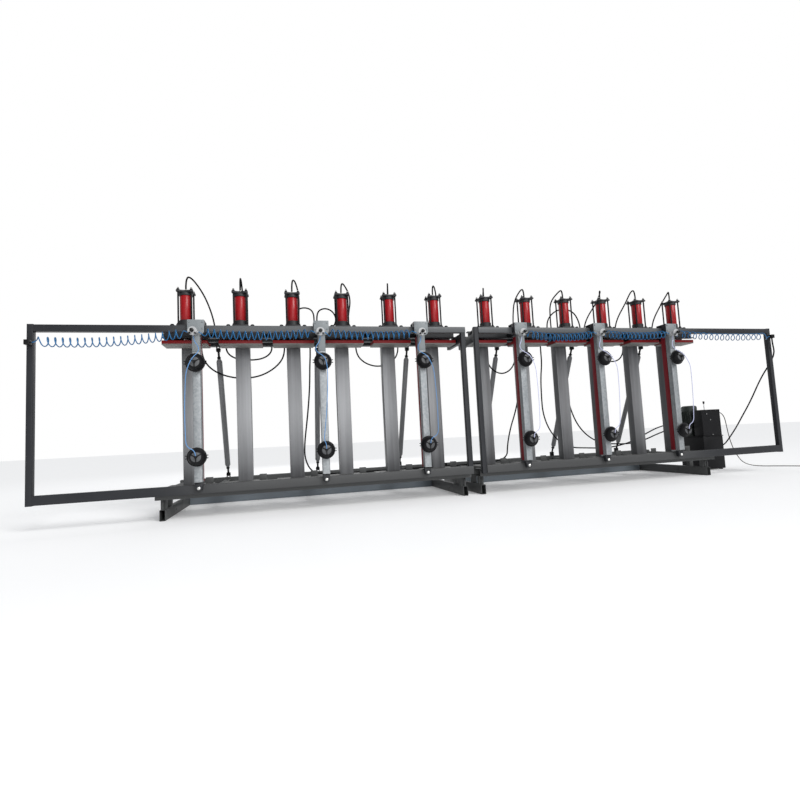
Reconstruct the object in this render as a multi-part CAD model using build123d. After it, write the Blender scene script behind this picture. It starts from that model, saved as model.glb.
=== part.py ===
from build123d import *
import math
import os

# Hydraulic timber press: two modules of six press cylinders in line, with six air clamps on rails in front.
# Millimetres. X runs along the press, the operator stands at -Y, Z is up and the floor is Z = 0.

# Modules
CYLINDERS = 6               # press cylinders in one module
PITCH = 500.0               # cylinder to cylinder
BAY_MARGIN = 250.0          # end cylinder to the end of its module
BAY_GAP = 100.0             # space between the two modules
RAIL_OVERHANG = 910.0       # rails past a module, where clamps are parked
RUN = 0.3                   # clearance of sliding faces
FIT = 0.05                  # radial running fit of rods in their bores
TOUCH = 0.1                 # radial clearance of pins in their holes
SIDES = 12                  # flat sides of the larger round pieces, which repeat many times
FEW = 8                     # flat sides of rods, pins and ports

# Feet and base
WALL = 4.0                  # wall of the square tubes
FOOT_W = 50.0
FOOT_H = 100.0
FOOT_INSET = 50.0           # foot centre from the end of its module
FOOT_SETBACK = 130.0        # foot front end behind the front plane of the rails
FOOT_LENGTH = 1210.0
FOOT_HOLE_R = 10.0
FOOT_HOLE_BACK = 430.0      # hole behind the foot's front end
LOOP_BAR_R = 6.0            # lifting loops
LOOP_W = 29.0
LOOP_H = 80.0
LOOP_BACK = 13.0            # loop behind the foot's front end
FLOOR_TUBE_REAR = 45.0      # floor tube ahead of the foot's rear end
RISER_H = 90.0
BEAM_H = 80.0               # long beams of the base
FRONT_BEAM_D = 150.0
COLUMN_BEAM_D = 120.0
REAR_BEAM_D = 100.0
CROSS_W = 60.0
BED_W = 400.0               # bed plates under the press plates
BED_T = 20.0
STOP_W = 70.0               # small stop brackets at the back of the beds
STOP_H = 60.0
STOP_T = 8.0

# Rails and posts
RAIL_D = 60.0
UPPER_RAIL_H = 60.0
LOWER_RAIL_H = 80.0
LOWER_RAIL_RISE = 20.0      # lower rail above the beds
RAIL_SPACER = 20.0          # lower rail to front beam
SPACER_W = 80.0
UPPER_RAIL_DROP = 28.0      # upper rail below the top of the main beam
STANDOFF_W = 60.0
STANDOFF_H = 34.0
POST = 50.0                 # end posts, square
POST_LAP = 4.0              # end posts past the rails
TIE_W = 40.0                # black ties at the inner ends
TIE_H = 96.0

# Main frame
THROAT_H = 1320.0           # bed to raised press shoe
CYLINDER_BACK = 260.0       # cylinder line behind the front plane of the rails
CHANNEL_GAP = 120.0
CHANNEL_FLANGE = 60.0
CHANNEL_H = 114.0
CHANNEL_WEB = 8.0
CHANNEL_T = 10.0
BEAM_MARGIN = 190.0         # main beam past the end cylinders
COLUMN_W = 140.0
COLUMN_D = 100.0
TOP_REAR_D = 80.0
TOP_REAR_H = 100.0
TOP_REAR_DROP = 24.0        # rear top beam below the top of the main beam

# Braces
BRACE_R = 28.5
BRACE_TAPER = 26.0
BRACE_NECK_R = 13.0
BRACE_FOOT_BACK = 1161.0    # lower pin behind the front plane of the rails
LUG_T = 8.0
LUG_W = 44.0
LUG_H = 52.0
LUG_PIN = 30.0              # pin from the lug's root
EYE_T = 22.0
EYE_R = 19.0
EYE_SHANK = 96.0            # pin to the end of the tube
PIN_R = 8.0

# Press cylinders
BASE_PLATE_X = 290.0
BASE_PLATE_Y = 180.0
BASE_PLATE_T = 10.0
FLANGE = 152.0              # square flanges
FLANGE_T = 18.0
FLANGE_SCALLOP = 12.0       # depth of the hollow in each side of the cap flange
EAR_W = 34.0                # ears at its corners
COLLAR_R = 62.5
BASE_COLLAR_H = 48.0
CAP_COLLAR_H = 29.0
BARREL_R = 55.0
BORE_R = 48.0
BARREL_L = 240.0
TIE_ROD_R = 8.0
TIE_ROD_HOLE_R = 8.5
TIE_ROD_OFFSET = 59.0
TIE_ROD_TIP = 26.0          # rod above the cap flange

# Rams and press plates
ROD_R = 25.0
PISTON_H = 30.0
PISTON_TOP = 5.0            # piston below the cap when raised
STROKE = 200.0
PLATE_GAP = 18.0            # press plate below the main beam
PLATE_H = 32.0
PLATE_D = 194.0
PLATE_W = 400.0
SHOE_T = 10.0
BOSS_R = 45.0
BOSS_H = 12.0

# Clamps: six air clamps that hang on the rails
CLAMP_X = (-2661.0, -1544.0, -551.0, 551.0, 1504.0, 2459.0)
CLAMP_GAP = 6.0             # clamp post to the front plane of the rails
CLAMP_POST_W = 70.0
CLAMP_POST_D = 64.0
CLAMP_POST_FOOT = 20.0      # clamp post above the lower rail
TROLLEY_W = 142.0
TROLLEY_T = 6.0
TROLLEY_RISE = 34.0         # trolley top above the upper rail
TROLLEY_SKIRT = 100.0
NECK_W = 62.0
NECK_DROP = 290.0           # neck end below the trolley top
LIP_GAP = 3.0
LIP_DROP = 15.0             # trolley lip below the rail top
SLIDE_W = 40.0
SLIDE_X = 44.0
SLIDE_D = 50.0
TIP_W = 48.0
TIP_D = 40.0
TIP_DROP = 48.0             # tip below the lower rail's top
HOOK_W = 60.0
HOOK_DROP = 22.0
CHAMBER_Z = (1390.0, 560.0)
CHAMBER_RING_R = 86.0
CHAMBER_RING_T = 12.0
CHAMBER_BODY_R = 74.0
CHAMBER_FACE_R = 46.0
CHAMBER_HALF = 46.0
CHAMBER_PORT_R = 10.0
CHAMBER_PORT_H = 24.0
CHAMBER_LUG = 18.0
PUSH_R = 8.0
PUSH_IN = 80.0              # push rod inside its chamber at rest
PUSH_SPARE = 6.0
BAR_W = 60.0
BAR_GAP = 6.0               # press bar behind the front plane of the rails
BAR_TOP_GAP = 36.0          # press bar below the upper rail
BAR_FOOT_GAP = 20.0         # press bar above the lower rail
VALVE_R = 28.0
VALVE_L = 54.0
VALVE_X = -15.0
VALVE_DROP = 120.0          # valve below the trolley top
VALVE_PORT_R = 8.0
VALVE_PORT_L = 14.0
VALVE_PORT_BACK = 30.0      # port line behind the valve's front face
STEM_R = 8.0
KNOB_R = 18.0
KNOB_L = 40.0
KNOB_STEM = 30.0
CLAMP_TUBE_R = 3.5
TUBE_BOW = ((-66, -72), (34, -22), (70, 80), (72, 70), (96, 66), (96, 66))   # air line beside the post, high and low

# Air spirals
SPIRAL_TUBE_R = 4.5
SPIRAL_COIL_R = 40.0
SPIRAL_TURNS = 6
SPIRAL_LEAD = 70.0          # fitting to first curl
SPIRAL_SAG = 30.0
SPIRAL_OUT = 90.0           # spiral axis in front of the rail plane
BULKHEAD_DROP = (162.0, 104.0)   # left and right bulkhead below the top of the upper rail
BULKHEAD = 44.0
BULKHEAD_D = 56.0
BULKHEAD_PORT = 12.0

# Oil lines
HOSE_R = 8.0
CAP_FITTING_R = 15.0
CAP_FITTING_H = 22.0
MANIFOLD = 50.0
MANIFOLD_DROP = 20.0        # manifold below the rear top beam's top
MANIFOLD_MARGIN = 200.0
PORT_R = 13.0
PORT_H = 20.0

# Power unit
TANK_X = 3640.0
TANK_W = 320.0
TANK_BACK = 620.0           # tank front behind the front plane of the rails
TANK_D = 390.0
TANK_H = 430.0
TANK_FOOT_R = 22.0
TANK_FOOT_H = 12.0
LID_T = 8.0
LID_LIP = 6.0
BOX_W = 300.0
BOX_D = 140.0
BOX_H = 350.0
BUTTON_R = 13.0
BUTTON_H = 8.0
MOTOR_R = 95.0
MOTOR_L = 330.0
MOTOR_FINS = 12
FIN_H = 10.0
FIN_T = 8.0
BELL_R = 80.0
BELL_H = 90.0
MOTOR_DX = -60.0
BLOCK_W = 90.0
BLOCK_D = 90.0
BLOCK_H = 240.0
EAR_T = 8.0
EAR_H = 30.0
LEVER_HUB_R = 12.0
LEVER_PIN_R = 5.0
LEVER_W = 16.0
LEVER_ARM_R = 5.5
LEVER_ARM = 200.0
LEVER_KNOB_R = 18.0

# Mains lead
CABLE_R = 5.0
COIL_LOOPS = 4
COIL_R = 58.0
COIL_LIFT = 1.0             # free space between the loops
TIE_ROOM = 0.4              # tie clear of the loops
TIE_BAND = 4.0
PLUG_R = 18.0
PLUG_L = 52.0
PIN_SIZE = 4.0
PIN_L = 18.0

# Stations worked out from the sizes above
bay_inner = BAY_GAP / 2
bay_outer = bay_inner + 2 * BAY_MARGIN + (CYLINDERS - 1) * PITCH
rail_outer = bay_outer + RAIL_OVERHANG
half_row = [bay_inner + BAY_MARGIN + k * PITCH for k in range(CYLINDERS)]
row = [-x for x in reversed(half_row)] + half_row
foot_x = (bay_inner + FOOT_INSET, bay_outer - FOOT_INSET)
brace_x = [half_row[k] + PITCH / 2 for k in range(0, CYLINDERS, 2)]

clamp_reach = CLAMP_GAP + CLAMP_POST_D + TROLLEY_T + VALVE_L + KNOB_STEM + KNOB_L
y_rail = (clamp_reach - FOOT_SETBACK - FOOT_LENGTH) / 2
y_cylinder = y_rail + CYLINDER_BACK
y_web_front = y_cylinder - CHANNEL_GAP / 2
y_web_rear = y_cylinder + CHANNEL_GAP / 2
y_column = y_web_rear + CHANNEL_FLANGE
y_column_rear = y_column + COLUMN_D
y_top_rear = y_column_rear + TOP_REAR_D
y_foot = y_rail + FOOT_SETBACK
y_foot_rear = y_foot + FOOT_LENGTH
y_front_beam = y_rail + RAIL_D + RAIL_SPACER
y_column_beam = (y_column + y_column_rear - COLUMN_BEAM_D) / 2
y_brace_foot = y_rail + BRACE_FOOT_BACK

z_base = FOOT_H + RISER_H
z_beam = z_base + BEAM_H
z_bed = z_beam + BED_T
z_lower = z_bed + LOWER_RAIL_RISE
z_shoe = z_bed + THROAT_H
z_plate = z_shoe + SHOE_T
z_plate_top = z_plate + PLATE_H
z_main = z_plate_top + PLATE_GAP
z_main_top = z_main + CHANNEL_H
z_upper = z_main_top - UPPER_RAIL_DROP
bulkhead_z = [z_upper - drop for drop in BULKHEAD_DROP]
z_top_rear = z_main_top - TOP_REAR_DROP
z_top_rear_low = z_top_rear - TOP_REAR_H
z_flange = z_main_top + BASE_PLATE_T
z_barrel = z_flange + FLANGE_T + BASE_COLLAR_H
z_cap = z_barrel + BARREL_L
z_cap_flange = z_cap + CAP_COLLAR_H
z_cap_top = z_cap_flange + FLANGE_T


def block(x, y, z):
    """A box between two limits on each axis."""
    size = [abs(b - a) for a, b in (x, y, z)]
    middle = [(a + b) / 2 for a, b in (x, y, z)]
    return Pos(*middle) * Box(*size)


def square_tube(x, y, z, axis):
    """A square tube, open at both ends of the named axis."""
    inner = [(min(limits) + WALL, max(limits) - WALL) for limits in (x, y, z)]
    ends = (x, y, z)[axis]
    inner[axis] = (min(ends) - 1, max(ends) + 1)
    return block(x, y, z) - block(*inner)


def upright(x, y, z, radius, height, sides=SIDES):
    """A round bar, drawn with flat sides, that stands on z."""
    return Pos(x, y, z) * extrude(RegularPolygon(radius, sides), height)


def along_y(x, y, z, radius, sides=FEW):
    """A round bar along Y between two limits."""
    start = Plane((x, min(y), z), x_dir=(1, 0, 0), z_dir=(0, 1, 0))
    return extrude(start * RegularPolygon(radius, sides), abs(y[1] - y[0]))


def along_x(x, y, z, radius, sides=FEW):
    """A round bar along X between two limits."""
    start = Plane((min(x), y, z), x_dir=(0, 1, 0), z_dir=(1, 0, 0))
    return extrude(start * RegularPolygon(radius, sides), abs(x[1] - x[0]))


def round_x(x, y, z, radius):
    """A true cylinder along X between two limits, for a pivot."""
    return Pos((x[0] + x[1]) / 2, y, z) * Rot(0, 90, 0) * Cylinder(radius, abs(x[1] - x[0]))


def turned(stations, sides):
    """A turned body along Z with flat facets, through stations of height and radius."""
    rings = []
    for height, radius in stations:
        turns = [2 * math.pi * k / sides for k in range(sides)]
        rings.append([Vector(radius * math.cos(turn), radius * math.sin(turn), height) for turn in turns])
    faces = [Face(Wire.make_polygon(rings[0])), Face(Wire.make_polygon(rings[-1]))]
    for low, high in zip(rings, rings[1:]):
        for k in range(sides):
            after = (k + 1) % sides
            faces.append(Face(Wire.make_polygon([low[k], low[after], high[after], high[k]])))
    return Solid(Shell(faces))


def save(node, solids):
    """Write one node as a STEP file."""
    pieces = []
    for shape in solids:
        pieces.extend(shape.solids())
    export_step(Compound(label=node, children=pieces), "parts/" + node + ".step")


def bent_path(name, points, radius):
    """A path of straight runs joined by arcs; prints the tightest bend."""
    spots = [Vector(*p) for p in points]
    edges = []
    here = spots[0]
    tightest = math.inf
    for before, corner, after in zip(spots, spots[1:], spots[2:]):
        back = before - corner
        ahead = after - corner
        reach = 0.45 * min(back.length, ahead.length)
        back = back.normalized()
        ahead = ahead.normalized()
        turn = math.pi - math.radians(back.get_angle(ahead))
        bend = reach / math.tan(turn / 2)
        tightest = min(tightest, bend)
        start = corner + back * reach
        middle = corner + (back + ahead).normalized() * (bend / math.cos(turn / 2) - bend)
        end = corner + ahead * reach
        edges.append(Edge.make_line(here, start))
        edges.append(Edge.make_three_point_arc(start, middle, end))
        here = end
    edges.append(Edge.make_line(here, spots[-1]))
    print(name, "least bend radius", round(tightest, 1), "mm, diameter", 2 * radius, "mm")
    return Wire(edges)


def swept(path, radius, sides):
    """A cord of polygon section with the area of the round one, along a path."""
    round_area = math.pi * radius ** 2
    corner = math.sqrt(2 * round_area / (sides * math.sin(2 * math.pi / sides)))
    start = Plane(path @ 0, z_dir=path % 0)
    return sweep(start * RegularPolygon(corner, sides), path=path, clean=False)


def hose(name, points, radius, sides=3):
    """A cord through points chosen by hand."""
    return swept(bent_path(name, points, radius), radius, sides)


def biarc(start, start_way, end, end_way):
    """Two arcs that leave start and reach end along the given ways."""
    span = end - start
    both = start_way + end_way
    spread = 2 * (1 - start_way.dot(end_way))
    along = span.dot(both)
    if spread < 1e-6:
        reach = span.dot(span) / (4 * span.dot(end_way))
    else:
        reach = (math.sqrt(along ** 2 + spread * span.dot(span)) - along) / spread
    middle = (start + end + (start_way - end_way) * reach) * 0.5
    first = Edge.make_tangent_arc(start, start_way, middle)
    second = Edge.make_tangent_arc(middle, first % 1, end)
    return [first, second]


def self_gap(name, path, radius, loop):
    """Print the least gap of a wound cord to itself, measured on points."""
    count = 900
    spots = [path @ (i / count) for i in range(count + 1)]
    step = path.length / count
    skip = int(loop / 2 / step) + 1
    least = math.inf
    for i, spot in enumerate(spots):
        for other in spots[i + skip:i + 6 * skip]:
            least = min(least, (other - spot).length)
    print(name, "gap to itself", round(least - 2 * radius, 2), "mm")


# Feet stand on the floor and carry lifting loops near their front ends
feet = []
for side in (-1, 1):
    for x in foot_x:
        middle = side * x
        sides = (middle - FOOT_W / 2, middle + FOOT_W / 2)
        foot = square_tube(sides, (y_foot, y_foot_rear), (0, FOOT_H), 1)
        foot -= along_x((sides[0] - 1, sides[1] + 1), y_foot + FOOT_HOLE_BACK, FOOT_H / 2, FOOT_HOLE_R)
        feet.append(foot)
        near = y_foot + LOOP_BACK
        bar = (middle - LOOP_BAR_R, middle + LOOP_BAR_R)
        loop = block(bar, (near - LOOP_BAR_R, near + LOOP_W + LOOP_BAR_R), (FOOT_H, FOOT_H + LOOP_H + LOOP_BAR_R))
        inside = (near + LOOP_BAR_R, near + LOOP_W - LOOP_BAR_R)
        loop -= block((bar[0] - 1, bar[1] + 1), inside, (FOOT_H - 1, FOOT_H + LOOP_H - LOOP_BAR_R))
        feet.append(loop)
save("base_feet", feet)

# Base: long beams on risers, cross members, a bed plate under each press plate and a pad under each column
long_beams = []
rear_beams = []
cross_members = []
beds = []
for side in (-1, 1):
    bay = (side * bay_inner, side * bay_outer)
    beam_z = (z_base, z_beam)
    front_y = (y_front_beam, y_front_beam + FRONT_BEAM_D)
    column_y = (y_column_beam, y_column_beam + COLUMN_BEAM_D)
    rear_y = (y_brace_foot - REAR_BEAM_D / 2, y_brace_foot + REAR_BEAM_D / 2)
    long_beams.append(square_tube(bay, front_y, beam_z, 0))
    long_beams.append(square_tube(bay, column_y, beam_z, 0))
    rear_beams.append(square_tube(bay, rear_y, (z_base, z_bed), 0))
    floor_x = (side * (foot_x[0] + FOOT_W / 2), side * (foot_x[1] - FOOT_W / 2))
    floor_y = (y_foot_rear - FLOOR_TUBE_REAR - FOOT_W, y_foot_rear - FLOOR_TUBE_REAR)
    rear_beams.append(square_tube(floor_x, floor_y, (0, FOOT_H), 0))
    for x in foot_x:
        sides = (side * x - FOOT_W / 2, side * x + FOOT_W / 2)
        for y in (front_y[0] + 2 * FOOT_W, column_y[0], rear_y[0]):
            cross_members.append(square_tube(sides, (y, y + FOOT_W), (FOOT_H, z_base), 2))
    for x in list(foot_x) + brace_x:
        sides = (side * x - CROSS_W / 2, side * x + CROSS_W / 2)
        cross_members.append(square_tube(sides, (column_y[1], rear_y[0]), beam_z, 1))
    for x in half_row:
        sides = (side * x - BED_W / 2, side * x + BED_W / 2)
        edge = side * x + BED_W / 2
        stop_y = (y_column - STOP_T, y_column)
        beds.append(block(sides, (front_y[0], stop_y[0]), (z_beam, z_bed)))
        beds.append(block(sides, (stop_y[0], column_y[1]), (z_beam, z_bed)))
        beds.append(block((edge - STOP_W, edge), stop_y, (z_bed, z_bed + STOP_H)))
save("base_long_beams", long_beams)
save("base_rear_beams", rear_beams)
save("base_cross_members", cross_members)
save("bed_plates", beds)

# Rails: the left module's inner post stands between its rails, the other posts close the rail ends
lower_rails = []
upper_rails = []
rail_y = (y_rail, y_rail + RAIL_D)
lower_z = (z_lower - LOWER_RAIL_H, z_lower)
upper_z = (z_upper - UPPER_RAIL_H, z_upper)
post_y = (y_rail + (RAIL_D - POST) / 2, y_rail + (RAIL_D + POST) / 2)
tall_z = (lower_z[0] - POST_LAP, z_upper + POST_LAP)
left_x = (-rail_outer, -bay_inner)
right_x = (bay_inner + POST, rail_outer)
for rail_x in (left_x, right_x):
    lower_rails.append(square_tube(rail_x, rail_y, lower_z, 0))
    upper_rails.append(square_tube(rail_x, rail_y, upper_z, 0))
save("lower_rails", lower_rails)
save("upper_rails", upper_rails)

posts = [
    square_tube((-rail_outer - POST, -rail_outer), post_y, tall_z, 2),
    square_tube((rail_outer, rail_outer + POST), post_y, tall_z, 2),
    square_tube((bay_inner, bay_inner + POST), post_y, tall_z, 2),
    square_tube((-bay_inner - POST, -bay_inner), post_y, (z_lower, upper_z[0]), 2),
]

# Brackets that hold the rails to the frame, and the black ties at the inner ends
for side in (-1, 1):
    tie_x = (side * bay_inner, side * (bay_inner + TIE_W))
    posts.append(block(tie_x, (post_y[1], y_column_rear), (upper_z[0] - TIE_H, upper_z[0])))
    for x in half_row:
        spacer_x = (side * x - SPACER_W / 2, side * x + SPACER_W / 2)
        posts.append(block(spacer_x, (rail_y[1], y_front_beam), (lower_z[0], z_beam)))
    for x in half_row[1:]:
        middle = side * (x - PITCH / 2)
        standoff_x = (middle - STANDOFF_W / 2, middle + STANDOFF_W / 2)
        standoff_y = (rail_y[1], y_web_front - CHANNEL_WEB)
        posts.append(block(standoff_x, standoff_y, (upper_z[0], upper_z[0] + STANDOFF_H)))
save("posts_and_brackets", posts)

# Columns and top beams
columns = []
for x in row:
    sides = (x - COLUMN_W / 2, x + COLUMN_W / 2)
    columns.append(square_tube(sides, (y_column, y_column_rear), (z_bed, z_main_top), 2))
save("columns", columns)


def channel(x, web, toe):
    """A channel along X: web at one Y, flanges towards toe."""
    back = web + math.copysign(CHANNEL_WEB, toe - web)
    shape = block(x, (web, back), (z_main, z_main_top))
    shape += block(x, (web, toe), (z_main, z_main + CHANNEL_T))
    shape += block(x, (web, toe), (z_main_top - CHANNEL_T, z_main_top))
    return shape


top_beams = []
for side in (-1, 1):
    beam_x = (side * (half_row[0] - BEAM_MARGIN), side * (half_row[-1] + BEAM_MARGIN))
    top_beams.append(channel(beam_x, y_web_front, y_web_front - CHANNEL_FLANGE))
    top_beams.append(channel(beam_x, y_web_rear, y_column))
    bay = (side * bay_inner, side * bay_outer)
    top_beams.append(square_tube(bay, (y_column_rear, y_top_rear), (z_top_rear_low, z_top_rear), 0))
save("top_beams", top_beams)

# Braces: adjustable tubes between lugs on the rear top beam and lugs on the rear base beam
top_pin = Vector(0, y_top_rear - LUG_PIN, z_top_rear_low - LUG_PIN)
foot_pin = Vector(0, y_brace_foot, z_bed + LUG_PIN)
brace_way = (foot_pin - top_pin).normalized()
brace_length = (foot_pin - top_pin).length - 2 * EYE_SHANK
brace_tubes = []
brace_forks = []
for side in (-1, 1):
    for x in brace_x:
        middle = Vector(side * x, 0, 0)
        start = top_pin + middle + brace_way * EYE_SHANK
        frame = Plane(start, x_dir=(1, 0, 0), z_dir=brace_way)
        stations = (
            (0, BRACE_NECK_R),
            (BRACE_TAPER, BRACE_R),
            (brace_length - BRACE_TAPER, BRACE_R),
            (brace_length, BRACE_NECK_R),
        )
        brace_tubes.append(frame * turned(stations, FEW))
        for pin, way in ((top_pin, brace_way), (foot_pin, brace_way * -1)):
            at = Plane(pin + middle, x_dir=(1, 0, 0), z_dir=way)
            eye = along_x((-EYE_T / 2, EYE_T / 2), 0, 0, EYE_R)
            eye += upright(0, 0, 0, BRACE_NECK_R - 2, EYE_SHANK, FEW)
            eye -= along_x((-EYE_T, EYE_T), 0, 0, PIN_R + TOUCH)
            brace_forks.append(at * eye)
            spot = pin + middle
            half = EYE_T / 2 + RUN
            lug_y = (spot.Y - LUG_W / 2, spot.Y + LUG_W / 2)
            root = z_top_rear_low if way.Z < 0 else z_bed
            lug_z = (root, root + math.copysign(LUG_H, spot.Z - root))
            pin_end = half + LUG_T + 4
            clevis = along_x((spot.X - pin_end, spot.X + pin_end), spot.Y, spot.Z, PIN_R)
            for hand in (-1, 1):
                clevis += block((spot.X + hand * half, spot.X + hand * (half + LUG_T)), lug_y, lug_z)
            brace_forks.append(clevis)
save("brace_tubes", brace_tubes)
save("brace_forks", brace_forks)

# Press cylinders: base flange and gland, barrel, eared cap, four tie rods
barrels = []
heads = []
tie_rods = []
corners = [(a * TIE_ROD_OFFSET, b * TIE_ROD_OFFSET) for a in (-1, 1) for b in (-1, 1)]
base_flange = Pos(0, 0, BASE_PLATE_T / 2) * Box(BASE_PLATE_X, BASE_PLATE_Y, BASE_PLATE_T)
base_flange += Pos(0, 0, BASE_PLATE_T + FLANGE_T / 2) * Box(FLANGE, FLANGE, FLANGE_T)
base_flange += upright(0, 0, BASE_PLATE_T + FLANGE_T, COLLAR_R, BASE_COLLAR_H)
base_flange -= upright(0, 0, -1, ROD_R + FIT, BASE_PLATE_T + FLANGE_T + BASE_COLLAR_H + 2)
ear = FLANGE / 2
hollow = FLANGE / 2 - FLANGE_SCALLOP
waist = FLANGE / 2 - EAR_W
quarter = [(ear, -waist), (hollow, 0), (ear, waist), (ear, ear)]
outline = []
for turn in range(4):
    for a, b in quarter:
        outline.append(Vector(a, b, 0).rotate(Axis.Z, 90 * turn))
cap_flange = extrude(Pos(0, 0, CAP_COLLAR_H) * make_face(Polyline(*outline, close=True)), FLANGE_T)
for a, b in corners:
    cap_flange -= upright(a, b, CAP_COLLAR_H - 1, TIE_ROD_HOLE_R, FLANGE_T + 2, FEW)
cap_flange += upright(0, 0, 0, COLLAR_R, CAP_COLLAR_H)
barrel = upright(0, 0, 0, BARREL_R, BARREL_L) - upright(0, 0, -1, BORE_R, BARREL_L + 2)
rod_length = z_cap_top + TIE_ROD_TIP - z_flange - FLANGE_T
tie_rod = upright(0, 0, 0, TIE_ROD_R, rod_length, FEW)
for x in row:
    heads.append(Pos(x, y_cylinder, z_main_top) * base_flange)
    barrels.append(Pos(x, y_cylinder, z_barrel) * barrel)
    heads.append(Pos(x, y_cylinder, z_cap) * cap_flange)
    for a, b in corners:
        tie_rods.append(Pos(x + a, y_cylinder + b, z_flange + FLANGE_T) * tie_rod)
save("cylinder_barrels", barrels)
save("cylinder_heads", heads)
save("tie_rods", tie_rods)

# Rams: piston, rod, press plate and shoe move together
piston_top = z_cap - PISTON_TOP
for number, x in enumerate(row, 1):
    ram = upright(x, y_cylinder, z_plate_top + BOSS_H, ROD_R, piston_top - z_plate_top - BOSS_H)
    ram += upright(x, y_cylinder, piston_top - PISTON_H, BORE_R - FIT, PISTON_H)
    sides = (x - PLATE_W / 2, x + PLATE_W / 2)
    plate_y = (y_cylinder - PLATE_D / 2, y_cylinder + PLATE_D / 2)
    plate = block(sides, plate_y, (z_plate, z_plate_top))
    plate += upright(x, y_cylinder, z_plate_top, BOSS_R, BOSS_H)
    shoe = block(sides, plate_y, (z_shoe, z_plate))
    save("ram_" + str(number), [ram, plate, shoe])

# Clamps: a trolley hooked over both rails, two air chambers on its post and the press bar behind it
y_post = (y_rail - CLAMP_GAP - CLAMP_POST_D, y_rail - CLAMP_GAP)
y_plate = y_post[0] - TROLLEY_T
z_trolley = z_upper + TROLLEY_RISE
z_valve = z_trolley - VALVE_DROP
z_post = (z_lower + CLAMP_POST_FOOT, z_trolley - TROLLEY_SKIRT)
lip_y = (y_rail + RAIL_D + LIP_GAP, y_rail + RAIL_D + LIP_GAP + TROLLEY_T)
z_tip = z_lower - TIP_DROP
half_plate = TROLLEY_W / 2
half_neck = NECK_W / 2
shoulder = half_plate - half_neck
bend = shoulder * math.sqrt(0.5)
y_chamber = y_post[0]
chamber_depth = 2 * CHAMBER_HALF + CHAMBER_RING_T
shells = [
    (0, CHAMBER_FACE_R),
    (CHAMBER_HALF, CHAMBER_BODY_R),
    (CHAMBER_HALF + CHAMBER_RING_T, CHAMBER_BODY_R),
    (chamber_depth, CHAMBER_FACE_R),
]
chamber = Plane((0, 0, 0), x_dir=(1, 0, 0), z_dir=(0, 1, 0)) * turned(shells, SIDES)
chamber += along_y(0, (CHAMBER_HALF, CHAMBER_HALF + CHAMBER_RING_T), 0, CHAMBER_RING_R, SIDES)
chamber += along_y(0, (chamber_depth, chamber_depth + CHAMBER_PORT_H), 0, CHAMBER_PORT_R)
lug_y = (CHAMBER_HALF, CHAMBER_HALF + CHAMBER_RING_T)
for hand in (-1, 1):
    lug_x = (hand * (CHAMBER_RING_R - CHAMBER_LUG), hand * (CHAMBER_RING_R + CHAMBER_LUG / 2))
    chamber += block(lug_x, lug_y, (-CHAMBER_LUG, CHAMBER_LUG))
chamber -= along_y(0, (-1, PUSH_IN + PUSH_SPARE), 0, PUSH_R + FIT)
chamber = Rot(0, 0, 180) * chamber
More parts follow.
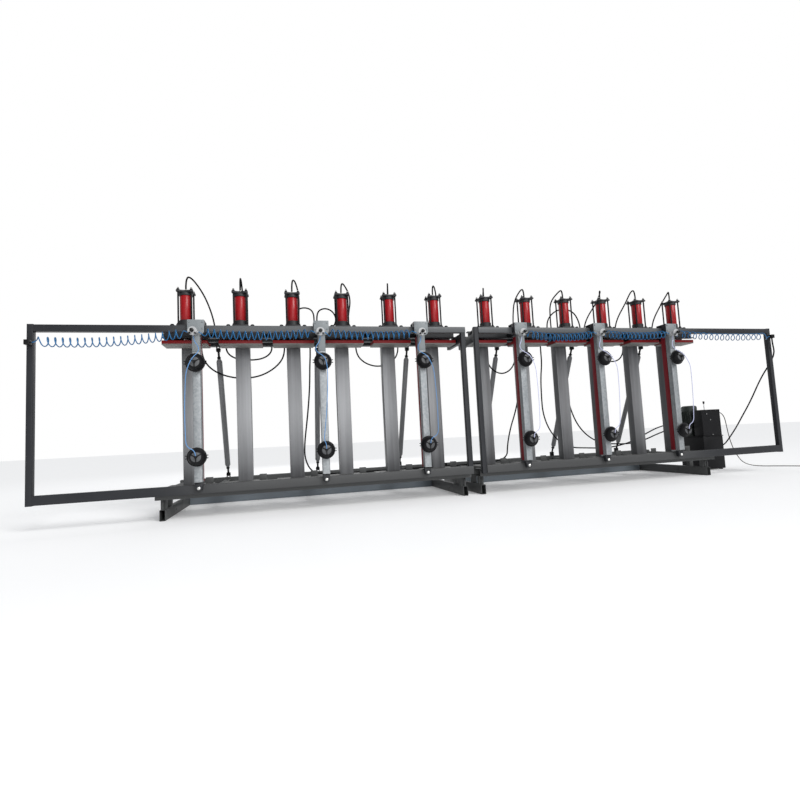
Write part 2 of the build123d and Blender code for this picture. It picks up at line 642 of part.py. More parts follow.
for number, x in enumerate(CLAMP_X, 1):
    here = Pos(x, 0, 0)
    edge = [
        (half_plate, z_trolley),
        (half_plate, z_post[1]),
        (half_neck + bend, z_post[1] - bend),
        (half_neck, z_post[1] - shoulder),
        (half_neck, z_trolley - NECK_DROP),
    ]
    outline = edge + [(-a, b) for a, b in reversed(edge)]
    face = make_face(Polyline(*outline, close=True))
    front_plate = Pos(0, y_post[0], 0) * extrude(Plane.XZ * face, TROLLEY_T)
    post = square_tube((-CLAMP_POST_W / 2, CLAMP_POST_W / 2), y_post, z_post, 2)
    for z in CHAMBER_Z:
        post -= along_y(0, (y_post[0] - 1, y_post[1] + 1), z, PUSH_R + FIT)
    tip_face = make_face(Polyline(
        (-CLAMP_POST_W / 2, z_post[0]),
        (CLAMP_POST_W / 2, z_post[0]),
        (TIP_W / 2, z_tip),
        (-TIP_W / 2, z_tip),
        close=True,
    ))
    tip = Pos(0, y_post[1], 0) * extrude(Plane.XZ * tip_face, TIP_D)
    hook_z = z_lower + RUN
    frame = [front_plate, post, tip]
    frame.append(block((-half_plate, half_plate), (y_post[0], lip_y[1]), (z_trolley - TROLLEY_T, z_trolley)))
    lip_z = (z_upper - LIP_DROP, z_trolley - TROLLEY_T)
    frame.append(block((-half_plate, half_plate), lip_y, lip_z))
    for hand in (-1, 1):
        skirt_x = (hand * (half_plate - TROLLEY_T), hand * half_plate)
        frame.append(block(skirt_x, y_post, (z_post[1], z_trolley - TROLLEY_T)))
        slide_x = (hand * SLIDE_X - SLIDE_W / 2, hand * SLIDE_X + SLIDE_W / 2)
        slide_y = (y_rail + (RAIL_D - SLIDE_D) / 2, y_rail + (RAIL_D + SLIDE_D) / 2)
        frame.append(block(slide_x, slide_y, (z_upper + RUN, z_trolley - TROLLEY_T)))
    hook_x = (-HOOK_W / 2, HOOK_W / 2)
    frame.append(block(hook_x, (y_post[1], lip_y[1]), (hook_z, hook_z + TROLLEY_T)))
    frame.append(block(hook_x, lip_y, (z_lower - HOOK_DROP, hook_z)))
    save("clamp_" + str(number) + "_frame", [here * piece for piece in frame])

    valve_y = (y_plate - VALVE_L, y_plate)
    valve = along_y(VALVE_X, valve_y, z_valve, VALVE_R, SIDES)
    port_y = valve_y[0] + VALVE_PORT_BACK
    port_reach = VALVE_R + VALVE_PORT_L
    valve += along_x((VALVE_X - port_reach, VALVE_X + port_reach), port_y, z_valve, VALVE_PORT_R)
    valve += along_y(VALVE_X, (valve_y[0] - KNOB_STEM, valve_y[0]), z_valve, STEM_R)
    knob_y = (valve_y[0] - KNOB_STEM - KNOB_L, valve_y[0] - KNOB_STEM)
    valve += along_y(VALVE_X, knob_y, z_valve, KNOB_R, SIDES)
    chambers = [Pos(0, y_chamber, z) * chamber for z in CHAMBER_Z]
    hang_y = y_chamber - chamber_depth - CHAMBER_PORT_H + 4
    high_bow, low_bow = TUBE_BOW[number - 1]
    hand = math.copysign(1, high_bow)
    bend_x = VALVE_X - 48 * hand
    high, low = CHAMBER_Z
    line = [
        (VALVE_X, port_y, z_valve - VALVE_R),
        (VALVE_X, port_y, z_valve - VALVE_R - 50),
        (bend_x, port_y - 26, high + 140),
        (bend_x, port_y - 64, high + 84),
        (12 * hand, hang_y, high + 34),
        (12 * hand + 0.55 * high_bow, hang_y, high - 42),
    ]
    for k in range(7):
        share = k / 6
        bow = high_bow + (low_bow - high_bow) * share + 10 * hand * math.sin(math.pi * share)
        line.append((bow, hang_y, high - 110 - share * (high - low - 200)))
    line.append((0, hang_y + 6, low + CHAMBER_PORT_R + 46))
    line.append((0, hang_y + 6, low + CHAMBER_PORT_R))
    air_line = hose("clamp_air_line", line, CLAMP_TUBE_R, 3)
    save("clamp_" + str(number) + "_actuators", [here * piece for piece in chambers + [valve, air_line]])

    bar_y = (y_rail + BAR_GAP, y_rail + BAR_GAP + BAR_W)
    bar_z = (z_lower + BAR_FOOT_GAP, upper_z[0] - BAR_TOP_GAP)
    bar = [square_tube((-BAR_W / 2, BAR_W / 2), bar_y, bar_z, 2)]
    for z in CHAMBER_Z:
        bar.append(along_y(0, (y_chamber - PUSH_IN, bar_y[0]), z, PUSH_R))
    save("clamp_" + str(number) + "_press_bar", [here * piece for piece in bar])

# Air spirals from the bulkheads on the end posts to the clamp valves, and on from clamp to clamp
bulkheads = []
port_y = y_plate - VALVE_L + VALVE_PORT_BACK
port_reach = VALVE_R + VALVE_PORT_L
bulkhead_x = rail_outer + POST / 2
bulkhead_y = (post_y[0] - BULKHEAD_D, post_y[0])
spiral_y = y_rail - SPIRAL_OUT
air_y = bulkhead_y[0] + BULKHEAD / 2
for hand, z in zip((-1, 1), bulkhead_z):
    middle = hand * bulkhead_x
    half = BULKHEAD / 2
    body = block((middle - half, middle + half), bulkhead_y, (z - half, z + half))
    reach = half + BULKHEAD_PORT
    bulkheads.append(body + along_x((middle, middle - hand * reach), air_y, z, VALVE_PORT_R))


def spiral(name, start, end):
    """A curly air hose that starts and ends straight along X."""
    way = Vector(math.copysign(1, end.X - start.X), 0, 0)
    knots = [(start + way * (2 * SPIRAL_TUBE_R), way)]
    first = start.X + way.X * SPIRAL_LEAD
    last = end.X - way.X * SPIRAL_LEAD
    for k in range(2 * SPIRAL_TURNS + 1):
        share = k / (2 * SPIRAL_TURNS)
        angle = math.pi * k
        sag = SPIRAL_SAG * 4 * share * (1 - share)
        centre_z = start.Z + (end.Z - start.Z) * share - sag
        slope = (end.Z - start.Z - SPIRAL_SAG * 4 * (1 - 2 * share)) / (last - first)
        pace = (last - first) / (2 * math.pi * SPIRAL_TURNS)
        spot = Vector(first + (last - first) * share, spiral_y - SPIRAL_COIL_R * math.cos(angle), centre_z)
        tangent = Vector(pace, 0, SPIRAL_COIL_R * math.cos(angle) + slope * pace)
        knots.append((spot, tangent.normalized()))
    knots.append((end - way * (2 * SPIRAL_TUBE_R), way))
    edges = [Edge.make_line(start, knots[0][0])]
    for (a, a_way), (b, b_way) in zip(knots, knots[1:]):
        edges.extend(biarc(a, a_way, b, b_way))
    edges.append(Edge.make_line(knots[-1][0], end))
    path = Wire(edges)
    self_gap(name, path, SPIRAL_TUBE_R, 2 * math.pi * SPIRAL_COIL_R)
    return swept(path, SPIRAL_TUBE_R, 3)


def valve_port(number, hand):
    """Where a spiral meets a clamp's valve."""
    return Vector(CLAMP_X[number] + VALVE_X + hand * port_reach, port_y, z_valve)


reach = BULKHEAD / 2 + BULKHEAD_PORT
left_start = Vector(-bulkhead_x + reach, air_y, bulkhead_z[0])
right_start = Vector(bulkhead_x - reach, air_y, bulkhead_z[1])
left_spirals = [
    spiral("spiral_1", left_start, valve_port(0, -1)),
    spiral("spiral_2", valve_port(0, 1), valve_port(1, -1)),
    spiral("spiral_3", valve_port(1, 1), valve_port(2, -1)),
]
right_spirals = [
    spiral("spiral_4", right_start, valve_port(5, 1)),
    spiral("spiral_5", valve_port(5, -1), valve_port(4, 1)),
    spiral("spiral_6", valve_port(4, -1), valve_port(3, 1)),
]
save("spiral_hoses_left", left_spirals)
save("spiral_hoses_right", right_spirals)

# Oil lines: a manifold bar behind each rear top beam, one hose to each cylinder cap
manifolds = []
fittings = []
cylinder_hoses = []
manifold_y = (y_top_rear, y_top_rear + MANIFOLD)
manifold_z = (z_top_rear - MANIFOLD_DROP - MANIFOLD, z_top_rear - MANIFOLD_DROP)
oil_y = (manifold_y[0] + manifold_y[1]) / 2
for side in (-1, 1):
    bar_x = (side * (bay_inner + MANIFOLD_MARGIN), side * (bay_outer - MANIFOLD_MARGIN))
    manifolds.append(block(bar_x, manifold_y, manifold_z))
fitting = upright(0, 0, 0, CAP_FITTING_R, CAP_FITTING_H, 6)
# Sideways reach of each hose: at its top, beside the cap, and at the manifold
hose_side = (
    (35, 125, 215), (0, 4, 0), (41, 80, 70), (54, 137, 100), (30, 50, 60), (70, 130, 30),
    (60, 100, 115), (36, 20, 17), (52, 11, 30), (90, 110, -15), (41, 46, -60), (77, 80, 0),
)
hose_rise = (161.0, 161.0, 160.0, 134.0, 149.0, 136.0, 136.0, 137.0, 131.0, 138.0, 161.0, 152.0)
z_cap_fitting = z_cap_top + CAP_FITTING_H
z_port = manifold_z[1] + PORT_H
for number, (x, (peak, beside, lean), rise) in enumerate(zip(row, hose_side, hose_rise), 1):
    fittings.append(Pos(x, y_cylinder, z_cap_top) * fitting)
    fittings.append(upright(x + lean, oil_y, manifold_z[1], PORT_R, PORT_H, 6))
    depth = oil_y - y_cylinder
    route = [
        (x, y_cylinder, z_cap_fitting),
        (x, y_cylinder, z_cap_fitting + 0.8 * rise),
        (x + peak, y_cylinder + 0.38 * depth, z_cap_fitting + rise),
        (x + beside, y_cylinder + 0.78 * depth, z_cap_fitting + 0.2 * rise),
        (x + 0.3 * beside + 0.7 * lean, oil_y - 4, z_cap_fitting - 150),
        (x + lean, oil_y + 12, z_cap_fitting - 300),
        (x + lean, oil_y, z_port + 60),
        (x + lean, oil_y, z_port),
    ]
    cylinder_hoses.append(hose("cylinder_hose_" + str(number), route, HOSE_R))
save("oil_manifolds", manifolds)
save("cylinder_hoses", cylinder_hoses)

# Oil supply: hanging jumpers under the manifolds, the feed and return lines to the power unit
z_under = manifold_z[0] - PORT_H
sway = 14.0
jumpers = {
    "jumper_1": [(-2480, 0), (-2480, -60), (-2390, -128), (-2250, -144), (-2110, -128), (-2020, -60), (-2020, 0)],
    "jumper_2": [
        (-2720, 0), (-2720, -100), (-2640, -230), (-2490, -310), (-2310, -338), (-2130, -310),
        (-1980, -220), (-1890, -100), (-1890, 0),
    ],
    "jumper_3": [(-1120, 0), (-1120, -90), (-1030, -190), (-880, -236), (-730, -190), (-640, -90), (-640, 0)],
    "jumper_4": [(420, 0), (420, -130), (480, -280), (620, -350), (760, -280), (820, -130), (820, 0)],
    "jumper_5": [(1990, 0), (1990, -90), (2060, -190), (2170, -214), (2270, -180), (2330, -90), (2330, 0)],
}
supply_hoses = []
arches = {
    "arch_1": [(-1765, 0), (-1765, 150), (-1765, 316), (-1664, 358), (-1566, 316), (-1566, 150), (-1566, 0)],
    "arch_2": [
        (-1538, 0), (-1538, 150), (-1530, 310), (-1440, 352), (-1350, 310), (-1318, 205), (-1380, 95), (-1380, 0),
    ],
    "arch_3": [
        (1262, 0), (1262, 100), (1290, 240), (1400, 350), (1550, 390), (1680, 340), (1732, 220), (1735, 100), (1735, 0),
    ],
}
for name, bends in arches.items():
    top = max(rise for x, rise in bends)
    route = [(x, oil_y + 34 * rise / top, z_port + rise) for x, rise in bends]
    route[1] = (bends[1][0], oil_y, route[1][2])
    route[-2] = (bends[-2][0], oil_y, route[-2][2])
    supply_hoses.append(hose(name, route, HOSE_R))
    for x, rise in (bends[0], bends[-1]):
        fittings.append(upright(x, oil_y, manifold_z[1], PORT_R, PORT_H, 6))
for name, bends in jumpers.items():
    route = [(x, oil_y, z_under + drop) for x, drop in bends]
    supply_hoses.append(hose(name, route, HOSE_R))
    for x, drop in (bends[0], bends[-1]):
        fittings.append(upright(x, oil_y, z_under, PORT_R, PORT_H, 6))

tank_x = (TANK_X - TANK_W / 2, TANK_X + TANK_W / 2)
tank_y = (y_rail + TANK_BACK, y_rail + TANK_BACK + TANK_D)
z_tank = TANK_FOOT_H + TANK_H
z_lid = z_tank + LID_T
box_y = (tank_y[0], tank_y[0] + BOX_D)
block_x = (tank_x[1] - 10 - BLOCK_W, tank_x[1] - 10)
block_y = (box_y[1] + 10, box_y[1] + 10 + BLOCK_D)
line_y = box_y[1] + 25
port_z = (z_lid + 110, z_lid + 170)
line_x = block_x[0] - PORT_H
z_lie = z_beam + 1.6 * HOSE_R
feed_x = 1470.0
return_x = 1156.0
feed = [
    (feed_x, oil_y, z_under),
    (feed_x, oil_y, z_under - 80),
    (feed_x - 8, oil_y + 10, z_under - 210),
    (feed_x + 10, oil_y + 24, z_under - 380),
    (feed_x + 20, oil_y + 34, z_under - 590),
    (feed_x + 60, oil_y + 40, z_under - 800),
    (feed_x + 150, oil_y + 48, z_under - 1000),
    (feed_x + 300, oil_y + 60, z_under - 1150),
    (feed_x + 500, oil_y + 84, z_under - 1235),
    (feed_x + 720, oil_y + 100, z_under - 1255),
    (feed_x + 940, oil_y + 96, z_under - 1262),
    (feed_x + 1160, oil_y + 110, z_under - 1225),
    (feed_x + 1370, oil_y + 130, z_under - 1160),
    (feed_x + 1580, oil_y + 150, z_under - 1110),
    (feed_x + 1790, line_y - 12, z_under - 1085),
    (line_x - 90, line_y, port_z[0]),
    (line_x, line_y, port_z[0]),
]
back_line = [
    (return_x, oil_y, z_under),
    (return_x, oil_y, z_under - 80),
    (return_x + 8, oil_y + 12, z_under - 220),
    (return_x - 10, oil_y + 30, z_under - 400),
    (return_x, oil_y + 60, z_under - 610),
    (return_x + 18, oil_y + 90, z_under - 820),
    (return_x + 100, oil_y + 120, z_under - 1020),
    (return_x + 240, oil_y + 150, z_under - 1180),
    (return_x + 430, oil_y + 170, z_under - 1270),
    (return_x + 650, oil_y + 190, z_under - 1285),
    (return_x + 880, oil_y + 184, z_under - 1300),
    (return_x + 1110, oil_y + 196, z_under - 1290),
    (return_x + 1340, oil_y + 186, z_under - 1240),
    (return_x + 1560, oil_y + 190, z_under - 1150),
    (return_x + 1770, oil_y + 196, z_under - 1070),
    (return_x + 1980, oil_y + 190, z_under - 1035),
    (line_x - 90, line_y, port_z[1]),
    (line_x, line_y, port_z[1]),
]
cross_start = -1620.0
cross_end = 880.0
cross_line = [
    (cross_start, oil_y, z_under),
    (cross_start, oil_y, z_under - 80),
    (cross_start - 10, oil_y + 14, z_under - 220),
    (cross_start - 16, oil_y + 20, z_under - 400),
    (cross_start - 34, oil_y + 34, z_under - 610),
    (cross_start - 60, oil_y + 42, z_under - 820),
    (cross_start - 90, oil_y + 50, z_under - 1030),
    (cross_start - 96, oil_y + 60, z_under - 1210),
    (cross_start - 20, oil_y + 72, z_lie + 20),
]
lying = int((656.0 - cross_start) // 200)
for k in range(1, lying):
    cross_line.append((cross_start - 20 + 200 * k, oil_y + 72 + sway * (k % 2), z_lie))
cross_line += [
    (650, oil_y + 74, z_lie + 40),
    (660, oil_y + 66, z_lie + 200),
    (710, oil_y + 58, z_lie + 400),
    (790, oil_y + 48, z_lie + 600),
    (840, oil_y + 36, z_lie + 810),
    (866, oil_y + 24, z_lie + 1020),
    (cross_end - 4, oil_y + 8, z_lie + 1200),
    (cross_end, oil_y, z_under - 80),
    (cross_end, oil_y, z_under),
]
supply_hoses.append(hose("feed_line", feed, HOSE_R))
supply_hoses.append(hose("return_line", back_line, HOSE_R))
supply_hoses.append(hose("cross_line", cross_line, HOSE_R))
for x in (feed_x, return_x, cross_start, cross_end):
    fittings.append(upright(x, oil_y, z_under, PORT_R, PORT_H, 6))
for z in port_z:
    fittings.append(along_x((line_x, block_x[0]), line_y, z, PORT_R))
save("supply_hoses", supply_hoses)
save("hose_fittings", fittings + bulkheads)

# Power unit: oil tank with lid, motor on its bell housing, valve block with hand lever, control box
tank_z = (TANK_FOOT_H, z_tank)
tank = block(tank_x, tank_y, tank_z)
inner = [(a + WALL, b - WALL) for a, b in (tank_x, tank_y)]
tank -= block(inner[0], inner[1], (TANK_FOOT_H + WALL, z_tank + 1))
lid_x = (tank_x[0] - LID_LIP, tank_x[1] + LID_LIP)
lid_y = (tank_y[0] - LID_LIP, tank_y[1] + LID_LIP)
tank_pieces = [tank, block(lid_x, lid_y, (z_tank, z_lid))]
for x in tank_x:
    for y in tank_y:
        foot_at = (x + math.copysign(40, TANK_X - x), y + math.copysign(40, sum(tank_y) / 2 - y))
        tank_pieces.append(upright(foot_at[0], foot_at[1], 0, TANK_FOOT_R, TANK_FOOT_H, FEW))
save("oil_tank", tank_pieces)

motor_x = TANK_X + MOTOR_DX
motor_y = tank_y[1] - MOTOR_R - FIN_H
z_motor = z_lid + BELL_H
motor = upright(motor_x, motor_y, z_motor, MOTOR_R, MOTOR_L)
for k in range(MOTOR_FINS):
    turn = 360 * k / MOTOR_FINS
    fin = Pos(MOTOR_R, 0, 0) * Box(2 * FIN_H, FIN_T, 0.7 * MOTOR_L)
    motor += Pos(motor_x, motor_y, z_motor + 0.4 * MOTOR_L) * Rot(0, 0, turn) * fin
bell = upright(motor_x, motor_y, z_lid, BELL_R, BELL_H)
save("motor", [motor, bell])

z_block = z_lid + BLOCK_H
lever_x = (block_x[0] + block_x[1]) / 2
lever_y = (block_y[0] + block_y[1]) / 2
z_pivot = z_block + EAR_H / 2
valve_block = [block(block_x, block_y, (z_lid, z_block))]
for hand in (-1, 1):
    near = lever_x + hand * (LEVER_W / 2 + RUN)
    ear = block((near, near + hand * EAR_T), (lever_y - EAR_H / 2, lever_y + EAR_H / 2), (z_block, z_block + EAR_H))
    span = sorted((near - hand, near + hand * (EAR_T + 1)))
    valve_block.append(ear - round_x(span, lever_y, z_pivot, LEVER_PIN_R + TOUCH))
pin_half = LEVER_W / 2 + RUN + EAR_T + 2
valve_block.append(round_x((lever_x - pin_half, lever_x + pin_half), lever_y, z_pivot, LEVER_PIN_R))
save("valve_block", valve_block)

lever = round_x((lever_x - LEVER_W / 2, lever_x + LEVER_W / 2), lever_y, z_pivot, LEVER_HUB_R)
lever += upright(lever_x, lever_y, z_pivot, LEVER_ARM_R, LEVER_ARM, FEW)
knob_rings = [(-0.9, 0.4), (-0.5, 0.87), (0, 1), (0.5, 0.87), (0.9, 0.4)]
knob_shape = [(a * LEVER_KNOB_R, b * LEVER_KNOB_R) for a, b in knob_rings]
lever += Pos(lever_x, lever_y, z_pivot + LEVER_ARM) * turned(knob_shape, SIDES)
lever -= round_x((lever_x - LEVER_W, lever_x + LEVER_W), lever_y, z_pivot, LEVER_PIN_R + TOUCH)
save("valve_lever", [lever])

box_x = (tank_x[0] + 10, tank_x[0] + 10 + BOX_W)
control = [block(box_x, box_y, (z_lid, z_lid + BOX_H))]
button_z = (z_lid + 0.85 * BOX_H, z_lid + 0.85 * BOX_H, z_lid + 0.15 * BOX_H)
button_x = (box_x[0] + 0.35 * BOX_W, box_x[0] + 0.65 * BOX_W, box_x[0] + 0.5 * BOX_W)
for x, z in zip(button_x, button_z):
    control.append(along_y(x, (box_y[0] - BUTTON_H, box_y[0]), z, BUTTON_R))
save("control_box", control)

# Air feed hose from the right bulkhead to the side of the tank
air_low = bulkhead_z[1] - BULKHEAD / 2
air_route = [
    (bulkhead_x, air_y, air_low),
    (bulkhead_x, air_y, air_low - 70),
    (bulkhead_x + 44, y_rail - 10, air_low - 180),
    (bulkhead_x + 56, y_rail + 70, air_low - 300),
    (bulkhead_x + 30, y_rail + 150, air_low - 420),
    (bulkhead_x + 20, y_rail + 230, air_low - 550),
    (bulkhead_x + 24, y_rail + 310, air_low - 680),
    (bulkhead_x + 30, y_rail + 400, air_low - 810),
    (bulkhead_x + 16, y_rail + 490, air_low - 950),
    (bulkhead_x - 6, y_rail + 570, air_low - 1090),
    (bulkhead_x - 50, y_rail + 650, air_low - 1230),
    (tank_x[1] + 80, y_rail + 700, air_low - 1330),
    (tank_x[1], y_rail + 700, air_low - 1330),
]
save("air_hose", [hose("air_hose", air_route, HOSE_R)])

# Mains lead: from the control box to the floor, then a coil with its tie, and a plug
cable_z = 1.3 * CABLE_R
gland = Vector(box_x[1], box_y[0] + 0.5 * BOX_D, z_lid + 0.9 * BOX_H)
coil_at = gland + Vector(1120, -760, 0)
coil_at.Z = cable_z
mains = [
    (gland.X, gland.Y, gland.Z),
    (gland.X + 80, gland.Y, gland.Z),
    (gland.X + 140, gland.Y - 6, gland.Z - 70),
    (gland.X + 160, gland.Y - 4, gland.Z - 180),
    (gland.X + 176, gland.Y - 8, gland.Z - 320),
    (gland.X + 210, gland.Y - 10, gland.Z - 460),
    (gland.X + 260, gland.Y - 20, gland.Z - 590),
    (gland.X + 330, gland.Y - 40, gland.Z - 700),
    (gland.X + 430, gland.Y - 80, cable_z + 12),
    (gland.X + 540, gland.Y - 150, cable_z),
    (gland.X + 640, gland.Y - 250, cable_z),
    (gland.X + 720, gland.Y - 360, cable_z),
    (gland.X + 790, gland.Y - 480, cable_z),
    (gland.X + 870, gland.Y - 600, cable_z),
    (gland.X + 960, gland.Y - 680, cable_z),
    (coil_at.X - 70, coil_at.Y + COIL_R, cable_z),
    (coil_at.X, coil_at.Y + COIL_R, cable_z),
]
save("mains_cable", [hose("mains_cable", mains, CABLE_R, 4)])

coil_pitch = 2 * cable_z + COIL_LIFT
knots = []
for k in range(2 * COIL_LOOPS + 1):
    up = math.cos(math.pi * k)
    climb = coil_pitch / (2 * math.pi) if k > 0 else 0
    spot = coil_at + Vector(0, COIL_R * up, coil_pitch * k / 2)
    knots.append((spot, Vector(COIL_R * up, 0, climb).normalized()))
z_plug = PLUG_R
plug_way = Vector(1, 0, 0)
plug_at = Vector(coil_at.X + 260, coil_at.Y + COIL_R + 10, z_plug)
knots.append((plug_at - plug_way * (2 * CABLE_R), plug_way))
coil_edges = []
for (a, a_way), (b, b_way) in zip(knots, knots[1:]):
    coil_edges.extend(biarc(a, a_way, b, b_way))
coil_edges.append(Edge.make_line(knots[-1][0], plug_at))
coil_path = Wire(coil_edges)
self_gap("mains_coil", coil_path, cable_z, 2 * math.pi * COIL_R)
coil = swept(coil_path, CABLE_R, 4)
tie_low = RUN
tie_high = cable_z + COIL_LOOPS * coil_pitch + cable_z + TIE_ROOM
tie_y = coil_at.Y - COIL_R
tie_room = cable_z + TIE_ROOM
tie = block((coil_at.X - TIE_BAND, coil_at.X + TIE_BAND), (tie_y - tie_room - 2, tie_y + tie_room + 2), (0, tie_high + 2))
tie -= block((coil_at.X - TIE_BAND - 1, coil_at.X + TIE_BAND + 1), (tie_y - tie_room, tie_y + tie_room), (tie_low, tie_high))
save("mains_coil", [coil, tie])
plug = along_x((plug_at.X, plug_at.X + PLUG_L), plug_at.Y, plug_at.Z, PLUG_R)
for turn in (90, 210, 330):
    shift = Vector(0, 0.5 * PLUG_R * math.cos(math.radians(turn)), 0.5 * PLUG_R * math.sin(math.radians(turn)))
    pin_at = plug_at + shift + Vector(PLUG_L + PIN_L / 2, 0, 0)
    plug += Pos(pin_at.X, pin_at.Y, pin_at.Z) * Box(PIN_L, PIN_SIZE, PIN_SIZE)
save("mains_plug", [plug])
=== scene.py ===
import math

import bmesh
import bpy
from mathutils import Matrix, Vector


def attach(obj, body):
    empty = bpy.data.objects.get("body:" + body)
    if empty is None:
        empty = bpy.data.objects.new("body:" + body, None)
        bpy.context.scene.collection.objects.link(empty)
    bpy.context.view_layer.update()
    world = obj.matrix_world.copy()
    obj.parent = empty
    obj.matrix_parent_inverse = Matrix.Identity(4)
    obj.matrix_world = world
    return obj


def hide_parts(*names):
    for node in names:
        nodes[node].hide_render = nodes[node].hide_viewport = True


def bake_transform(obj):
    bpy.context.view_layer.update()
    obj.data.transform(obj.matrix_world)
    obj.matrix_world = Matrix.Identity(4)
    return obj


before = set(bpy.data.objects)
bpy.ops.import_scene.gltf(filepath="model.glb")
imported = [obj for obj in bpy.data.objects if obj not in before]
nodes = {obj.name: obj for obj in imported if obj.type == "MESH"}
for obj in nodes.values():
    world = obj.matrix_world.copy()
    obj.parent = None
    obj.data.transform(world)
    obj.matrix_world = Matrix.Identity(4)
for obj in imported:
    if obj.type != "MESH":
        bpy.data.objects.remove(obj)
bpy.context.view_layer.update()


# View: the camera stands low and left of the middle, with a short lens, as the photograph was taken.
# The floor is plain and pale, and soft light comes from the front, as in a bright hall.
def feed(node, inputs):
    """Each named socket of a node takes another node's output, or else a value of its own."""
    for name, what in inputs.items():
        if isinstance(what, bpy.types.NodeSocket):
            node.id_data.links.new(what, node.inputs[name])
        else:
            node.inputs[name].default_value = what


def add(tree, kind, inputs, **settings):
    """One more node in a tree, with its settings and what its sockets take."""
    node = tree.nodes.new("ShaderNode" + kind)
    for name, setting in settings.items():
        setattr(node, name, setting)
    feed(node, inputs)
    return node


def blank_coat(name):
    """A new material and its shader."""
    coat = bpy.data.materials.new(name)
    coat.use_nodes = True
    return coat, coat.node_tree.nodes["Principled BSDF"]


right = Vector((0.97115, -0.23302, -0.05071))
forward = Vector((0.23646, 0.96851, 0.07792))
above = right.cross(forward)
stand = Vector((-1.8976, -5.1113, 0.6454))
bpy.ops.object.camera_add()
camera = bpy.context.object
camera.data.lens = 21.18
camera.data.sensor_width = 36.0
facing = Matrix((right, above, -forward)).transposed().to_4x4()
camera.matrix_world = Matrix.Translation(stand) @ facing
bpy.context.scene.camera = camera
bpy.context.scene.view_settings.view_transform = "Standard"

world = bpy.data.worlds.new("hall")
world.use_nodes = True
sky = world.node_tree
fill = sky.nodes["Background"]
feed(fill, {"Color": (0.95, 0.97, 1.0, 1.0), "Strength": 0.45})
backdrop = add(sky, "Background", {"Color": (1.0, 1.0, 1.0, 1.0)})
ray = add(sky, "LightPath", {})
choice = add(sky, "MixShader", {
    0: ray.outputs["Is Camera Ray"],
    1: fill.outputs["Background"],
    2: backdrop.outputs["Background"],
})
feed(sky.nodes["World Output"], {"Surface": choice.outputs["Shader"]})
bpy.context.scene.world = world

lamps = (
    ("window_light", "SUN", (3.5, -6.0, 5.5), 2.3),
    ("front_light", "AREA", (-1.0, -9.0, 3.0), 260.0),
    ("back_light", "AREA", (0.0, 7.0, 5.0), 120.0),
)
for name, kind, spot, power in lamps:
    bpy.ops.object.light_add(type=kind, location=spot)
    lamp = bpy.context.object
    lamp.name = name
    lamp.data.energy = power
    if kind == "SUN":
        lamp.data.angle = math.radians(28)
    else:
        lamp.data.size = 6.0
    aim = Vector((0.0, 0.0, 1.0)) - Vector(spot)
    lamp.rotation_euler = aim.to_track_quat("-Z", "Y").to_euler()

bpy.ops.mesh.primitive_plane_add(size=120.0, location=(0.0, 20.0, -0.001))
floor = bpy.context.object
floor.name = "floor"
floor_coat, pale = blank_coat("floor_pale")
feed(pale, {"Base Color": (0.93, 0.93, 0.93, 1.0), "Roughness": 0.9})
feed(pale, {"Emission Color": (1.0, 1.0, 1.0, 1.0), "Emission Strength": 0.1})
floor.data.materials.append(floor_coat)


# Feet: two sawn box sections under each module, sprayed dark grey, with a hole for the floor bolt.
# A bent round bar is welded near each front end as a lifting loop.
def leave_all():
    """Nothing stays selected and no piece stays in edit mode."""
    if bpy.context.mode != "OBJECT":
        bpy.ops.object.mode_set(mode="OBJECT")
    bpy.ops.object.select_all(action="DESELECT")


def alone(piece):
    """One piece is selected and active."""
    leave_all()
    piece.select_set(True)
    bpy.context.view_layer.objects.active = piece


def work_on(piece):
    """One piece is opened in edit mode, with nothing selected in it."""
    alone(piece)
    bpy.ops.object.mode_set(mode="EDIT")
    bpy.ops.mesh.select_all(action="DESELECT")
    return bmesh.from_edit_mesh(piece.data)


def smooth(piece, angle):
    """Curved faces are shaded smooth and real edges stay crisp."""
    alone(piece)
    bpy.ops.object.shade_smooth_by_angle(angle=math.radians(angle))


def belongs(piece, body, slot, *stands_for):
    """The piece rides on its body and stands for its nodes, which are hidden; the slot is not used."""
    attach(piece, body)
    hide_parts(*stands_for)


def finished(piece, coat, slot, node, body="frame", angle=40):
    """The piece is coated and shaded, and belongs where it does."""
    piece.data.materials.append(coat)
    smooth(piece, angle)
    belongs(piece, body, slot, node)


def joined(name, pieces):
    """Several pieces become one, under one name."""
    leave_all()
    for piece in pieces:
        piece.select_set(True)
    bpy.context.view_layer.objects.active = pieces[0]
    bpy.ops.object.join()
    whole = bpy.context.object
    whole.name = name
    whole.data.name = name
    return whole


def fixed(name, pieces, *finish, **more):
    """Pieces that are welded or bolted together become one finished piece."""
    whole = joined(name, pieces)
    finished(whole, *finish, **more)
    return whole


def rolled_copy(node, name, corner, coat, slot, keep=None, long_edge=0.12):
    """A copy of a node's solids whose long outer corners are rounded, as rolled steel has them."""
    piece = bpy.data.objects.new(name, nodes[node].data.copy())
    bpy.context.scene.collection.objects.link(piece)
    piece.data.materials.clear()
    work_on(piece)
    bpy.ops.mesh.select_all(action="SELECT")
    bpy.ops.mesh.remove_doubles(threshold=0.00002)
    bpy.ops.mesh.dissolve_limited(angle_limit=0.02)
    if keep:
        shape = work_on(piece)
        for face in shape.faces:
            face.select_set(not keep(face.calc_center_median()))
        bpy.ops.mesh.delete(type="FACE")
    shape = work_on(piece)
    for edge in shape.edges:
        if len(edge.link_faces) == 2 and edge.is_convex and edge.calc_length() > long_edge:
            edge.select_set(edge.calc_face_angle() > 0.6)
    bpy.ops.mesh.bevel(offset=corner, segments=3, affect="EDGES", clamp_overlap=True)
    finished(piece, coat, slot, node)


def solid(colour):
    """A colour that lets nothing through."""
    return list(colour) + [1.0]


